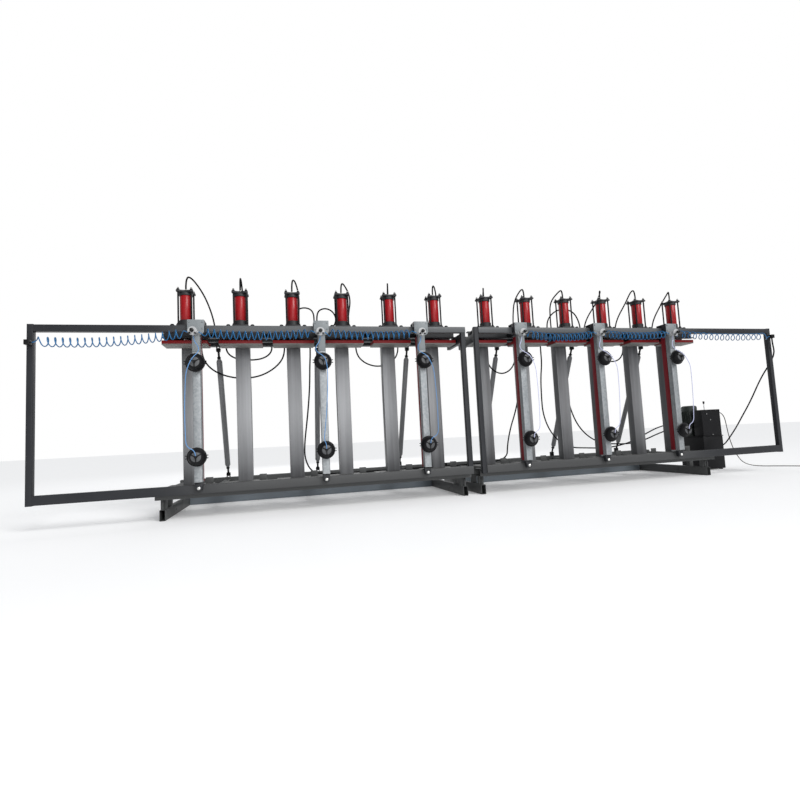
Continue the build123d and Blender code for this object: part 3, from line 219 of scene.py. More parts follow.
def blended(tree, share, low, high):
    """A colour between two others."""
    return add(tree, "Mix", {0: share, 6: low, 7: high}, data_type="RGBA").outputs[2]


def ranged(tree, value, start, end, low=0.0, high=1.0, ease="LINEAR"):
    """A value read on one range and given on another."""
    reading = {"Value": value, "From Min": start, "From Max": end, "To Min": low, "To Max": high}
    return add(tree, "MapRange", reading, interpolation_type=ease).outputs["Result"]


def sprayed_paint(
    name, colour, roughness, uneven=0.16, peel=0.12, gloss=0.25, metal=0.0, lacquer=0.0, haze=0.03
):
    """Sprayed enamel on steel: clouds of tone, patches of differing gloss and a fine orange peel."""
    paint, shader = blank_coat(name)
    tree = paint.node_tree
    place = add(tree, "TexCoord", {}).outputs["Object"]
    clouds = {"Vector": place, "Scale": 3.5, "Detail": 7.0, "Roughness": 0.62}
    cloud = add(tree, "TexNoise", clouds).outputs[0]
    dark = solid(c * (1 - uneven) for c in colour)
    light = solid(min(1.0, c * (1 + uneven)) for c in colour)
    grain = add(tree, "TexNoise", {"Vector": place, "Scale": 420.0, "Detail": 2.0}).outputs[0]
    bump = add(tree, "Bump", {"Height": grain, "Strength": peel, "Distance": 0.0004})
    feed(shader, {
        "Base Color": blended(tree, cloud, dark, light),
        "Roughness": ranged(tree, cloud, 0.3, 0.7, roughness - 0.08, roughness + 0.1),
        "Normal": bump.outputs["Normal"],
        "Specular IOR Level": gloss,
        "Metallic": metal,
        "Coat Weight": lacquer,
        "Coat Roughness": haze,
    })
    return paint


frame_paint = sprayed_paint("frame_grey_paint", (0.062, 0.064, 0.064), 0.42)
foot_x = (-3.0, -0.1, 0.1, 3.0)
foot_top = 0.1
rolled_copy("base_feet", "feet", 0.005, frame_paint, "frame_grey", lambda spot: spot.z < foot_top + 0.0005)

loop_y = (-0.427, -0.398)
loop_top = 0.18
loop_half = (loop_y[1] - loop_y[0]) / 2
loops = []
for x in foot_x:
    leave_all()
    bpy.ops.curve.primitive_bezier_curve_add()
    bar = bpy.context.object
    bend = bar.data.splines[0].bezier_points
    bend.add(3)
    knees = (
        (loop_y[0], foot_top - 0.001),
        (loop_y[0], loop_top - loop_half),
        (loop_y[0] + loop_half, loop_top),
        (loop_y[1], loop_top - loop_half),
        (loop_y[1], foot_top - 0.001),
    )
    for point, (y, z) in zip(bend, knees):
        point.co = (x, y, z)
        point.handle_left_type = "AUTO"
        point.handle_right_type = "AUTO"
    bar.data.dimensions = "3D"
    bar.data.bevel_depth = 0.006
    bar.data.bevel_resolution = 4
    bar.data.use_fill_caps = True
    bpy.ops.object.convert(target="MESH")
    loops.append(bpy.context.object)
lifting_loops = joined("lifting_loops", loops)
lifting_loops.data.materials.clear()
finished(lifting_loops, frame_paint, "frame_grey", "base_feet")


# Base: box-section beams on short risers, in the same dark grey, with a bluish floor tube at the back.
# Worn grey bed plates lie on the front beams, two strips under each press plate, with a small angle stop.
def sawn_bar(low, high, corner, segments=2):
    """A plate or bar between two corners, with its edges broken."""
    leave_all()
    middle = [(a + b) / 2 for a, b in zip(low, high)]
    size = [abs(b - a) for a, b in zip(low, high)]
    bpy.ops.mesh.primitive_cube_add(size=1.0, location=middle, scale=size)
    bar = bpy.context.object
    bpy.ops.object.transform_apply(location=True, rotation=True, scale=True)
    work_on(bar)
    bpy.ops.mesh.select_all(action="SELECT")
    bpy.ops.mesh.bevel(offset=corner, segments=segments, affect="EDGES", clamp_overlap=True)
    leave_all()
    return bar


floor_paint = sprayed_paint("floor_tube_blue_grey", (0.13, 0.15, 0.168), 0.4)
bed_paint = sprayed_paint("bed_grey_worn", (0.125, 0.125, 0.122), 0.5, 0.3)
beam_corner = 0.006
floor_tube_top = 0.12
rolled_copy("base_long_beams", "long_beams", beam_corner, frame_paint, "frame_grey")
rolled_copy("base_cross_members", "cross_members", beam_corner, frame_paint, "frame_grey")
for name, coat, slot, keep in (
    ("floor_tubes", floor_paint, "floor_blue_grey", lambda spot: spot.z < floor_tube_top),
    ("rear_beams", frame_paint, "frame_grey", lambda spot: spot.z > floor_tube_top),
):
    rolled_copy("base_rear_beams", name, beam_corner, coat, slot, keep)

row = [-2.8 + 0.5 * k for k in range(6)] + [0.3 + 0.5 * k for k in range(6)]
bed_half = 0.2
bed_z = (0.27, 0.29)
bed_y = (-0.49, -0.198, -0.08)
stop_wide = 0.07
stop_high = 0.06
stop_back = -0.19
beds = []
stops = []
for x in row:
    for front, back in zip(bed_y, bed_y[1:]):
        beds.append(sawn_bar((x - bed_half, front, bed_z[0]), (x + bed_half, back, bed_z[1]), 0.002))
    near = (x + bed_half - stop_wide, bed_y[1], bed_z[1])
    stops.append(sawn_bar(near, (x + bed_half, stop_back, bed_z[1] + stop_high), 0.001))
fixed("bed_plates_flat", beds, bed_paint, "bed_grey", "bed_plates")
fixed("bed_stops", stops, frame_paint, "bed_grey", "bed_plates")


# Rails and posts: box-section rails along the front carry the clamps, closed by upright posts at their ends.
# Spacers and stand-offs hold them to the frame; the dark spray has a painted highlight, paler along the middle
# stretch of each rail.
def worked(tree, operation, *values, **settings):
    """What a sum gives of its values."""
    return add(tree, "Math", dict(enumerate(values)), operation=operation, **settings).outputs["Value"]


def base_colour(coat):
    """A material's shader, and the colour that it takes so far."""
    shader = coat.node_tree.nodes["Principled BSDF"]
    return shader, shader.inputs["Base Color"].links[0].from_socket


def rubbed_rail_paint(name, colour, highlight_colour, roughness):
    """Dark enamel with a painted highlight: paler along the middle stretch of a rail, fading to the dark colour
    towards the ends.
    """
    coat = sprayed_paint(name, colour, roughness)
    tree = coat.node_tree
    shader, dark = base_colour(coat)
    place = add(tree, "TexCoord", {}).outputs["Object"]
    along = add(tree, "SeparateXYZ", {"Vector": place}).outputs["X"]
    # The middle stretch is painted paler as a painted highlight, fading out towards the rail ends.
    run = ranged(tree, worked(tree, "ABSOLUTE", along), 3.1, 2.3, ease="SMOOTHSTEP")
    feed(shader, {"Base Color": blended(tree, run, dark, solid(highlight_colour))})
    return coat


rail_dark = (0.018, 0.019, 0.022)
rail_paint = sprayed_paint("rail_grey_paint", rail_dark, 0.38)
upper_rail_highlight_paint = rubbed_rail_paint("rail_grey_painted_highlight", rail_dark, (0.076, 0.08, 0.084), 0.38)
lower_rail_highlight_paint = rubbed_rail_paint("lower_rail_painted_highlight", rail_dark, (0.05, 0.051, 0.052), 0.4)
rolled_copy("lower_rails", "lower_rail_tubes", 0.005, lower_rail_highlight_paint, "rail_grey")
rolled_copy("upper_rails", "upper_rail_tubes", 0.005, upper_rail_highlight_paint, "rail_grey")
rolled_copy("posts_and_brackets", "rail_posts_and_brackets", 0.005, rail_paint, "rail_grey")


# Columns and top beams: twelve box-section columns behind the cylinders, sprayed a lighter satin grey, with a
# painted sheen on their faces and painted shade on their sides.
# Two channels back to back take the press load, and a box beam behind them takes the braces.
def satin_column_paint(name, sides, dull, bright):
    """Satin grey enamel with painted light: painted shade on the sides, a painted sheen half way up the faces
    and faint upright streaks of painted sheen.
    """
    coat = sprayed_paint(name, sides, 0.3, 0.1)
    tree = coat.node_tree
    shader, plain = base_colour(coat)
    place = add(tree, "TexCoord", {}).outputs["Object"]
    stretch = add(tree, "Mapping", {"Vector": place, "Scale": (26.0, 26.0, 0.5)}).outputs["Vector"]
    streak = add(tree, "TexNoise", {"Vector": stretch, "Scale": 1.0, "Detail": 3.0}).outputs[0]
    up = add(tree, "SeparateXYZ", {"Vector": place}).outputs["Z"]
    away = worked(tree, "ABSOLUTE", worked(tree, "SUBTRACT", up, 0.95))
    middle = ranged(tree, away, 0.75, 0.0, ease="SMOOTHSTEP")
    faint = ranged(tree, streak, 0.3, 0.7, 0.0, 0.38)
    level = worked(tree, "MULTIPLY_ADD", middle, 0.62, faint, use_clamp=True)
    streaks = blended(tree, level, solid(dull), solid(bright))
    # Faces looking to the front or back take the painted sheen; the side faces keep the darker colour as
    # painted shade.
    way = add(tree, "NewGeometry", {}).outputs["Normal"]
    across = add(tree, "SeparateXYZ", {"Vector": way}).outputs["Y"]
    feed(shader, {
        "Base Color": blended(tree, worked(tree, "ABSOLUTE", across), plain, streaks),
        "Roughness": ranged(tree, streak, 0.0, 1.0, 0.24, 0.46),
        "Metallic": 0.35,
    })
    return coat


column_side_shade = (0.085, 0.087, 0.091)
column_dull = (0.105, 0.107, 0.112)
column_sheen_colour = (0.27, 0.274, 0.282)
column_paint = satin_column_paint("column_grey_satin", column_side_shade, column_dull, column_sheen_colour)
# The top beams are coloured near black as painted shade, for the shadow they lie in below the rails.
top_beam_shade_paint = sprayed_paint("top_beam_painted_shade", (0.016, 0.017, 0.019), 0.45)
rolled_copy("columns", "column_tubes", 0.008, column_paint, "column_grey")
rolled_copy("top_beams", "channels_and_rear_beam", 0.004, top_beam_shade_paint, "frame_grey")


# Braces: round tubes with necked ends, screwed on eyes that pivot between lugs on the rear beams.
# The tubes are sprayed plain grey, and the eyes, nuts, pins and lugs are blackened steel.
def turned(stations, sides=32):
    """A turned piece about Z, drawn up ring by ring from stations of height and radius."""
    leave_all()
    height, radius = stations[0]
    bpy.ops.mesh.primitive_circle_add(
        vertices=sides, radius=radius, fill_type="NGON", location=(0, 0, height)
    )
    piece = bpy.context.object
    bpy.ops.object.transform_apply(location=True, rotation=False, scale=False)
    bpy.ops.object.mode_set(mode="EDIT")
    bpy.ops.mesh.select_all(action="SELECT")
    for (low, wide), (high, narrow) in zip(stations, stations[1:]):
        bpy.ops.mesh.extrude_region_move(TRANSFORM_OT_translate={"value": (0, 0, high - low)})
        share = narrow / wide
        bpy.ops.transform.resize(value=(share, share, 1), center_override=(0, 0, high))
    bpy.ops.mesh.select_all(action="SELECT")
    bpy.ops.mesh.normals_make_consistent(inside=False)
    leave_all()
    return piece


def lay(piece, spot, way=(0, 0, 1)):
    """A piece made about Z is put at a spot, with its axis along a way."""
    turn = Vector((0, 0, 1)).rotation_difference(Vector(way)).to_matrix().to_4x4()
    piece.data.transform(Matrix.Translation(Vector(spot)) @ turn)
    return piece


def again(piece, shift):
    """Another one of the same piece, moved, with a mesh of its own."""
    twin = piece.copy()
    twin.data = piece.data.copy()
    twin.data.transform(Matrix.Translation(Vector(shift)))
    bpy.context.scene.collection.objects.link(twin)
    return twin


def rod(radius, length, chamfer, sides=20):
    """A round bar about Z with chamfered ends."""
    end = radius - chamfer
    return turned(((0, end), (chamfer, radius), (length - chamfer, radius), (length, end)), sides)


def hex_nut(across, thick, spot, way=(0, 0, 1)):
    """A six-sided nut with rounded crowns."""
    corner = across / 2 / math.cos(math.pi / 6)
    crown = corner * 0.92
    stations = ((0, crown), (thick * 0.12, corner), (thick * 0.88, corner), (thick, crown))
    return lay(turned(stations, 6), spot, way)


brace_paint = sprayed_paint("brace_grey", (0.19, 0.194, 0.2), 0.34, 0.12)
black_paint = sprayed_paint("blackened_steel", (0.006, 0.006, 0.007), 0.4, 0.25, gloss=0.15)
brace_x = (-2.55, -1.55, -0.55, 0.55, 1.55, 2.55)
top_pin = Vector((0, -0.04, 1.63))
foot_pin = Vector((0, 0.591, 0.32))
top_root = 1.66
foot_root = 0.29
brace_way = (foot_pin - top_pin).normalized()
shank = 0.096
neck = 0.013
tube = 0.0285
taper = 0.026
eye_half = 0.011
pin_half = 0.0233
lug_near = 0.0113
lug_far = 0.0193
lug_half = 0.022
lug_reach = 0.052
brace_long = (foot_pin - top_pin).length - 2 * shank
brace_half = ((0, neck), (0.003, neck + 0.002), (taper, tube - 0.002), (taper + 0.006, tube))
brace_stations = brace_half + tuple((brace_long - along, radius) for along, radius in reversed(brace_half))
eye_stations = ((0, 0.017), (0.003, 0.019), (0.019, 0.019), (0.022, 0.017))
tubes = []
forks = []
for x in brace_x:
    start = top_pin + Vector((x, 0, 0)) + brace_way * shank
    tubes.append(lay(turned(brace_stations), start, brace_way))
    for pin, way, root in ((top_pin, brace_way, top_root), (foot_pin, -brace_way, foot_root)):
        spot = pin + Vector((x, 0, 0))
        forks += [
            lay(rod(0.011, shank - 0.002, 0.001), spot, way),
            hex_nut(0.034, 0.016, spot + way * (shank - 0.018), way),
            lay(turned(eye_stations, 28), spot - Vector((eye_half, 0, 0)), (1, 0, 0)),
            lay(rod(0.008, 2 * pin_half, 0.001), spot - Vector((pin_half, 0, 0)), (1, 0, 0)),
        ]
        tip = root + math.copysign(lug_reach, spot.z - root)
        for side in (-1, 1):
            low = (spot.x + side * lug_near, spot.y - lug_half, root)
            high = (spot.x + side * lug_far, spot.y + lug_half, tip)
            forks.append(sawn_bar(low, high, 0.002))
fixed("brace_tubes_round", tubes, brace_paint, "column_grey", "brace_tubes")
fixed("brace_eyes_and_lugs", forks, black_paint, "black_steel", "brace_forks")


# Press cylinders: a red lacquered barrel between a charcoal base flange and a scalloped cap.
# Four black tie rods with nuts hold them together, and domed bolts fix the base plate to the channels.
def plate_from(outline, shift, broken):
    """A flat outline is drawn out to a plate, and its sharp edges are broken."""
    bpy.ops.mesh.select_all(action="SELECT")
    bpy.ops.mesh.extrude_region_move(TRANSFORM_OT_translate={"value": shift})
    bpy.ops.mesh.select_all(action="SELECT")
    bpy.ops.mesh.normals_make_consistent(inside=False)
    shape = work_on(outline)
    for edge in shape.edges:
        if len(edge.link_faces) == 2:
            edge.select_set(edge.calc_face_angle() > 1.2)
    bpy.ops.mesh.bevel(offset=broken, segments=2, affect="EDGES", clamp_overlap=True)
    leave_all()
    return outline


def cast_cap(half, thick, hollow, ear):
    """The cap's flange: a square plate whose four sides are hollowed between the rod ears."""
    leave_all()
    bpy.ops.mesh.primitive_grid_add(x_subdivisions=16, y_subdivisions=16, size=2 * half)
    plate = bpy.context.object
    shape = work_on(plate)
    for point in shape.verts:
        for this, other in ((0, 1), (1, 0)):
            along = min(1.0, abs(point.co[other]) / ear)
            point.co[this] *= 1 - hollow * (1 - along ** 2) / half
    bpy.ops.mesh.select_all(action="SELECT")
    bpy.ops.mesh.dissolve_limited(angle_limit=0.01)
    return plate_from(plate, (0, 0, thick), 0.002)


barrel_red = sprayed_paint("barrel_red_lacquer", (0.27, 0.003, 0.006), 0.36, 0.1, 0.02, lacquer=0.1, haze=0.18)
cap_charcoal = sprayed_paint("cap_charcoal", (0.02, 0.02, 0.022), 0.45, 0.2)
tip_bright = sprayed_paint("rod_tip_bright", (0.42, 0.42, 0.41), 0.35, 0.1, gloss=0.5, metal=0.6)
press_y = -0.31
z_base = 1.784
z_base_top = z_base + 0.01
z_flange = 1.812
z_barrel = 1.86
z_cap = 2.1
z_cap_flange = 2.129
z_cap_top = 2.147
rod_tip = 2.173
rod_out = 0.059
flange_half = 0.076
base_half = (0.145, 0.09)
base_bolts = (0.112, 0.062)
barrel_radius = 0.055
ring_radius = 0.0625
barrel = turned((
    (z_barrel, barrel_radius - 0.002),
    (z_barrel + 0.003, barrel_radius),
    (z_cap - 0.003, barrel_radius),
    (z_cap, barrel_radius - 0.002),
), 48)
heads = [
    sawn_bar((-base_half[0], -base_half[1], z_base), (base_half[0], base_half[1], z_base_top), 0.0015),
    sawn_bar((-flange_half, -flange_half, z_base_top), (flange_half, flange_half, z_flange), 0.002),
    turned(((z_flange, ring_radius), (z_barrel - 0.003, ring_radius), (z_barrel, ring_radius - 0.003)), 48),
    turned(((z_cap, ring_radius - 0.003), (z_cap + 0.003, ring_radius), (z_cap_flange, ring_radius)), 48),
    lay(cast_cap(flange_half, z_cap_top - z_cap_flange, 0.012, 0.044), (0, 0, z_cap_flange)),
]
rods = []
tips = []
for a in (-rod_out, rod_out):
    for b in (-rod_out, rod_out):
        rods += [
            lay(rod(0.008, rod_tip - z_flange, 0.0015, 16), (a, b, z_flange)),
            hex_nut(0.024, 0.013, (a, b, z_cap_top)),
            lay(turned(((0, 0.0135), (0.003, 0.0135)), 16), (a, b, z_cap_top)),
            hex_nut(0.024, 0.013, (a, b, z_flange)),
        ]
        point = turned(((0, 0.0082), (0.005, 0.0082), (0.011, 0.0045), (0.012, 0.002)), 16)
        tips.append(lay(point, (a, b, rod_tip - 0.011)))
for a in (-base_bolts[0], base_bolts[0]):
    for b in (-base_bolts[1], base_bolts[1]):
        dome = turned(((0, 0.02), (0.008, 0.02), (0.015, 0.0175), (0.02, 0.012), (0.022, 0.005)), 20)
        rods.append(lay(dome, (a, b, z_base_top)))
for name, parts, coat, slot, node in (
    ("barrels", [barrel], barrel_red, "cylinder_red", "cylinder_barrels"),
    ("flanges_and_caps", heads, cap_charcoal, "charcoal", "cylinder_heads"),
    ("tie_rods_and_nuts", rods, black_paint, "black_steel", "tie_rods"),
    ("tie_rod_tips", tips, tip_bright, "plated_steel", "tie_rods"),
):
    one = joined(name + "_one", parts)
    every = [again(one, (x, press_y, 0)) for x in row]
    bpy.data.objects.remove(one)
    fixed(name, every, coat, slot, node)


# Rams: each plated piston rod carries a red press plate with a pale shoe under it, and the three move as one.
# The rod is hard chromed, with a grooved piston in the barrel; the plate is sprayed red.
def plated(name, colour, roughness):
    """Plated steel with a fine turned grain and slightly cloudy shine."""
    return sprayed_paint(name, colour, roughness, 0.08, 0.06, metal=0.9)


chrome = plated("rod_chrome", (0.62, 0.62, 0.63), 0.22)
plate_red = sprayed_paint("press_plate_red", (0.21, 0.008, 0.01), 0.42, 0.2)
shoe_grey = sprayed_paint("shoe_grey", (0.2, 0.195, 0.185), 0.55, 0.22)
plate_half = (0.2, 0.097)
z_shoe = 1.61
z_plate = 1.62
z_plate_top = 1.652
boss_high = 0.012
rod_radius = 0.0249
piston_radius = 0.0479
groove_radius = 0.0455
piston_stations = (
    (z_plate_top + boss_high, rod_radius), (2.065, rod_radius),
    (2.065, piston_radius), (2.076, piston_radius),
    (2.076, groove_radius), (2.081, groove_radius),
    (2.081, piston_radius), (2.095, piston_radius),
)
for number, x in enumerate(row, 1):
    body = "ram_body_" + str(number)
    node = "ram_" + str(number)
    low = (x - plate_half[0], press_y - plate_half[1])
    high = (x + plate_half[0], press_y + plate_half[1])
    plate = sawn_bar((low[0], low[1], z_plate), (high[0], high[1], z_plate_top), 0.003)
    boss = lay(turned(((0, 0.045), (0.009, 0.045), (boss_high, 0.042)), 36), (x, press_y, z_plate_top))
    fixed("press_plate_" + str(number), [plate, boss], plate_red, "press_red", node, body)
    shoe = sawn_bar((low[0], low[1], z_shoe), (high[0], high[1], z_plate), 0.002)
    fixed("press_shoe_" + str(number), [shoe], shoe_grey, "bed_grey", node, body)
    piston = lay(turned(piston_stations), (x, press_y, 0))
    fixed("piston_rod_" + str(number), [piston], chrome, "plated_steel", node, body)


# Clamps: a folded steel trolley hangs on both rails and carries a galvanised post with two air chambers.
# The red press bar behind the post is pushed back by the chambers' rods; a hand valve sits on the trolley.
def zinc_coat(name, dark, light, roughness):
    """Hot-dip galvanising: a spangle of grey crystals over a soft cloudy shine."""
    coat, shader = blank_coat(name)
    tree = coat.node_tree
    place = add(tree, "TexCoord", {}).outputs["Object"]
    spangle = add(tree, "TexVoronoi", {"Vector": place, "Scale": 55.0}).outputs["Color"]
    grey = add(tree, "SeparateColor", {"Color": spangle}).outputs["Red"]
    cloud = add(tree, "TexNoise", {"Vector": place, "Scale": 7.0, "Detail": 5.0}).outputs[0]
    level = ranged(tree, worked(tree, "ADD", grey, cloud), 0.3, 1.6)
    feed(shader, {
        "Base Color": blended(tree, level, solid(dark), solid(light)),
        "Roughness": ranged(tree, cloud, 0.0, 1.0, roughness - 0.1, roughness + 0.12),
        "Metallic": 0.55,
    })
    return coat


def hollowed(bar, axis, limit, wall):
    """A bar becomes a tube: the faces that look along its axis go, and the others get a wall."""
    shape = work_on(bar)
    for face in shape.faces:
        face.select_set(abs(face.normal[axis]) > limit)
    bpy.ops.mesh.delete(type="FACE")
    alone(bar)
    sheet = bar.modifiers.new("wall", "SOLIDIFY")
    sheet.thickness = wall
    sheet.offset = -1.0
    bpy.ops.object.modifier_apply(modifier=sheet.name)
    return bar


def trolley_plate(half, top, foot, back, thick):
    """The trolley's front plate, cut to a neck below rounded shoulders."""
    leave_all()
    shoulder = [(0.068, 1.675), (0.059, 1.662), (0.046, 1.653), (0.031, 1.65), (0.031, 1.5)]
    outline = [(half, top), (half, foot)] + shoulder
    corners = outline + [(-x, z) for x, z in reversed(outline)]
    bpy.ops.mesh.primitive_circle_add(vertices=len(corners), radius=0.1, fill_type="NGON")
    plate = bpy.context.object
    shape = work_on(plate)
    shape.verts.ensure_lookup_table()
    for point, (x, z) in zip(shape.verts, corners):
        point.co = (x, back, z)
    return plate_from(plate, (0, -thick, 0), 0.001)


def air_chamber():
    """One air chamber about Z: two pressed shells held by a bolted ring, ribs and a port on its face."""
    parts = [turned((
        (0, 0.046), (0.012, 0.058), (0.03, 0.068), (0.046, 0.074),
        (0.046, 0.079), (0.049, 0.083), (0.055, 0.083), (0.058, 0.079),
        (0.058, 0.074), (0.072, 0.07), (0.09, 0.06), (0.1, 0.05),
        (0.104, 0.044), (0.104, 0.03), (0.1, 0.027),
    ), 40)]
    for turn in range(3):
        rib = sawn_bar((-0.005, 0.01, 0.09), (0.005, 0.048, 0.11), 0.001)
        rib.data.transform(Matrix.Rotation(math.radians(120 * turn + 60), 4, "Z"))
        parts.append(rib)
    parts.append(turned(((0.1, 0.012), (0.12, 0.012), (0.122, 0.01), (0.128, 0.0095)), 16))
    bolt_out = 0.089
    for hand in (-1, 1):
        for up in (-0.012, 0.012):
            near = (hand * 0.074, up - 0.0035, 0.048)
            far = (hand * 0.0948, up + 0.0035, 0.056)
            parts.append(sawn_bar(near, far, 0.001))
            parts.append(lay(rod(0.003, 0.03, 0.0005, 10), (hand * bolt_out, up, 0.037)))
            parts.append(hex_nut(0.0085, 0.005, (hand * bolt_out, up, 0.0562)))
    return joined("chamber", parts)


galvanised = zinc_coat("post_galvanised", (0.2, 0.215, 0.225), (0.29, 0.305, 0.315), 0.45)
trolley_grey = sprayed_paint("trolley_light_grey", (0.18, 0.196, 0.204), 0.42, 0.12)
chamber_black = sprayed_paint("chamber_black", (0.006, 0.006, 0.007), 0.42, 0.3, gloss=0.15)
face_grey = sprayed_paint("chamber_face_grey", (0.06, 0.062, 0.066), 0.36, 0.25, gloss=0.4)
bar_red = sprayed_paint("press_bar_dark_red", (0.16, 0.006, 0.011), 0.42, 0.2)
valve_bright = plated("valve_bright", (0.66, 0.66, 0.64), 0.28)
valve_grey = sprayed_paint("valve_cast_grey", (0.36, 0.365, 0.37), 0.4, 0.12, gloss=0.4)
knob_black = sprayed_paint("knob_black_plastic", (0.006, 0.006, 0.006), 0.35, 0.1, gloss=0.2)
clamp_x = (-2.661, -1.544, -0.551, 0.551, 1.504, 2.459)
front_way = (0, -1, 0)
trolley_half = 0.071
trolley_top = 1.79
hood_under = 1.784
plate_y = -0.64
plate_front = -0.646
hook_y = (-0.507, -0.501)
hook_half = 0.03
hook_under = 0.3103
post_half = 0.035
post_back = -0.576
post_top = 1.69
z_toe = 0.33
toe_low = 0.262
toe_front = -0.616
toe_share = 0.686
bar_y = (-0.564, -0.504)
bar_half = 0.03
wall = 0.004
upper_z = 1.39
lower_z = 0.56
valve_x = -0.015
valve_z = 1.67
port_y = -0.67
bezel_face = -0.727

trolley_parts = [trolley_plate(trolley_half, trolley_top, post_top, plate_y, plate_y - plate_front)]
# The hood's top, cheeks and back take the dark rail paint as painted shade; the front plate keeps its light
# grey.
hood_parts = [
    sawn_bar((-trolley_half, plate_y, hood_under), (trolley_half, hook_y[1], trolley_top), 0.001),
    sawn_bar((-trolley_half, hook_y[0], 1.741), (trolley_half, hook_y[1], hood_under), 0.001),
]
for hand in (-1, 1):
    cheek = ((hand * 0.065, plate_y, post_top), (hand * trolley_half, post_back, hood_under))
    hood_parts.append(sawn_bar(*cheek, 0.001))
    pad = ((hand * 0.044 - 0.02, -0.565, 1.7563), (hand * 0.044 + 0.02, -0.515, hood_under))
    hood_parts.append(sawn_bar(*pad, 0.002))
    for z in (1.768, 1.708):
        head = turned(((0, 0.008), (0.003, 0.008), (0.005, 0.006)), 12)
        trolley_parts.append(lay(head, (hand * 0.056, plate_front, z), front_way))

tip = sawn_bar((-post_half, toe_front, toe_low), (post_half, post_back, z_toe), 0.002)
for point in tip.data.vertices:
    point.co.x *= toe_share + (1 - toe_share) * (point.co.z - toe_low) / (z_toe - toe_low)
toe_parts = [
    tip,
    sawn_bar((-hook_half, post_back, hook_under), (hook_half, hook_y[1], 0.3163), 0.001),
    sawn_bar((-hook_half, hook_y[0], 0.288), (hook_half, hook_y[1], hook_under), 0.001),
]
tip_bolt = turned(((0, 0.015), (0.008, 0.015), (0.012, 0.011), (0.014, 0.004)), 16)
lay(tip_bolt, (0, toe_front, 0.284), front_way)
post = sawn_bar((-post_half, plate_y, z_toe), (post_half, post_back, post_top), 0.007, 3)
hollowed(post, 2, 0.1, wall)

bar = sawn_bar((-bar_half, bar_y[0], z_toe), (bar_half, bar_y[1], 1.66), 0.006, 3)
bar_parts = [hollowed(bar, 2, 0.1, wall)]
chambers = []
faces = []
for z in (upper_z, lower_z):
    chambers.append(lay(air_chamber(), (0, plate_y, z), front_way))
    face = turned(((0.1035, 0.0425), (0.105, 0.0425), (0.106, 0.0405), (0.106, 0.02)), 36)
    faces.append(lay(face, (0, plate_y, z), front_way))
    bar_parts.append(lay(rod(0.0079, 0.156, 0.001), (0, bar_y[0], z), front_way))

valve_parts = [lay(turned((
    (0, 0.028), (0.046, 0.028), (0.054, 0.022), (0.068, 0.022),
    (0.07, 0.037), (0.072, 0.039), (0.08, 0.039), (0.082, 0.037), (0.083, 0.02),
), 40), (valve_x, plate_front, valve_z), front_way)]
knob_parts = [lay(turned((
    (0, 0.008), (0.014, 0.008), (0.014, 0.014), (0.018, 0.017),
    (0.034, 0.017), (0.04, 0.014), (0.042, 0.009),
), 24), (valve_x, bezel_face - 0.001, valve_z), front_way)]
for hand in (-1, 1):
    port = turned(((0, 0.008), (0.02, 0.008), (0.02, 0.0095), (0.036, 0.0095), (0.042, 0.007)), 6)
    valve_parts.append(lay(port, (valve_x, port_y, valve_z), (hand, 0, 0)))
    silencer = turned(((0, 0.0085), (0.01, 0.0085), (0.014, 0.0065)), 14)
    knob_parts.append(lay(silencer, (valve_x + hand * 0.023, bezel_face, valve_z - 0.022), front_way))
valve_parts.append(lay(rod(0.0075, 0.012, 0.001, 12), (valve_x, port_y, valve_z - 0.036)))

clamp_pieces = (
    (trolley_parts, "_trolley_plate", trolley_grey, "galvanised", "_frame", ""),
    (hood_parts, "_trolley_hood", rail_paint, "rail_grey", "_frame", ""),
    ([post], "_post", galvanised, "galvanised", "_frame", ""),
    (toe_parts, "_post_toe", rail_paint, "rail_grey", "_frame", ""),
    ([tip_bolt], "_toe_bolt", valve_bright, "plated_steel", "_frame", ""),
    (faces, "_chamber_faces", face_grey, "charcoal", "_actuators", ""),
    (chambers, "_chambers", chamber_black, "black_steel", "_actuators", ""),
    (valve_parts, "_valve", valve_grey, "plated_steel", "_actuators", ""),
    (knob_parts, "_valve_knob", knob_black, "black_plastic", "_actuators", ""),
    (bar_parts, "_bar", bar_red, "bar_red", "_press_bar", "_bar"),
)
ones = [joined("one" + entry[1], entry[0]) for entry in clamp_pieces]
for number, x in enumerate(clamp_x, 1):
    clamp = "clamp_" + str(number)
    for one, (parts, name, coat, slot, node, body) in zip(ones, clamp_pieces):
        piece = again(one, (x, 0, 0))
        piece.name = clamp + name
        finished(piece, coat, slot, clamp + node, clamp + body)
for one in ones:
    bpy.data.objects.remove(one)


# Clamp air lines: a thin nylon tube from each valve, pale blue on the left three clamps, clear on the rest.
# It crosses the upper chamber's face, hangs bowed in front of the post and ends in the lower chamber's port.
def hose_curve(name, points, radius):
    """A hose as one smooth line along its points."""
    line = bpy.data.curves.new(name, "CURVE")
    line.dimensions = "3D"
    run = line.splines.new("NURBS")
    run.points.add(len(points) - 1)
    for point, spot in zip(run.points, points):
        point.co = (spot[0], spot[1], spot[2], 1.0)
    run.order_u = 3
    run.use_endpoint_u = True
    run.resolution_u = 6
    line.bevel_depth = radius
    line.bevel_resolution = 3
    line.use_fill_caps = True
    piece = bpy.data.objects.new(name, line)
    bpy.context.scene.collection.objects.link(piece)
    return piece


def middle_line(piece):
    """The points down the middle of a hose."""
    bare = bpy.data.objects.new("bare_line", piece.data.copy())
    bare.data.bevel_depth = 0.0
    mesh = bpy.data.meshes.new_from_object(bare)
    points = [point.co.copy() for point in mesh.vertices]
    bpy.data.meshes.remove(mesh)
    bpy.data.curves.remove(bare.data)
    return points


def laid_hose(name, points, radius, coat, body, slot, node):
    """A hose between two fittings of one body."""
    line = hose_curve(name, points, radius)
    line.data.materials.append(coat)
    belongs(line, body, slot, node)
    middle_line(line)


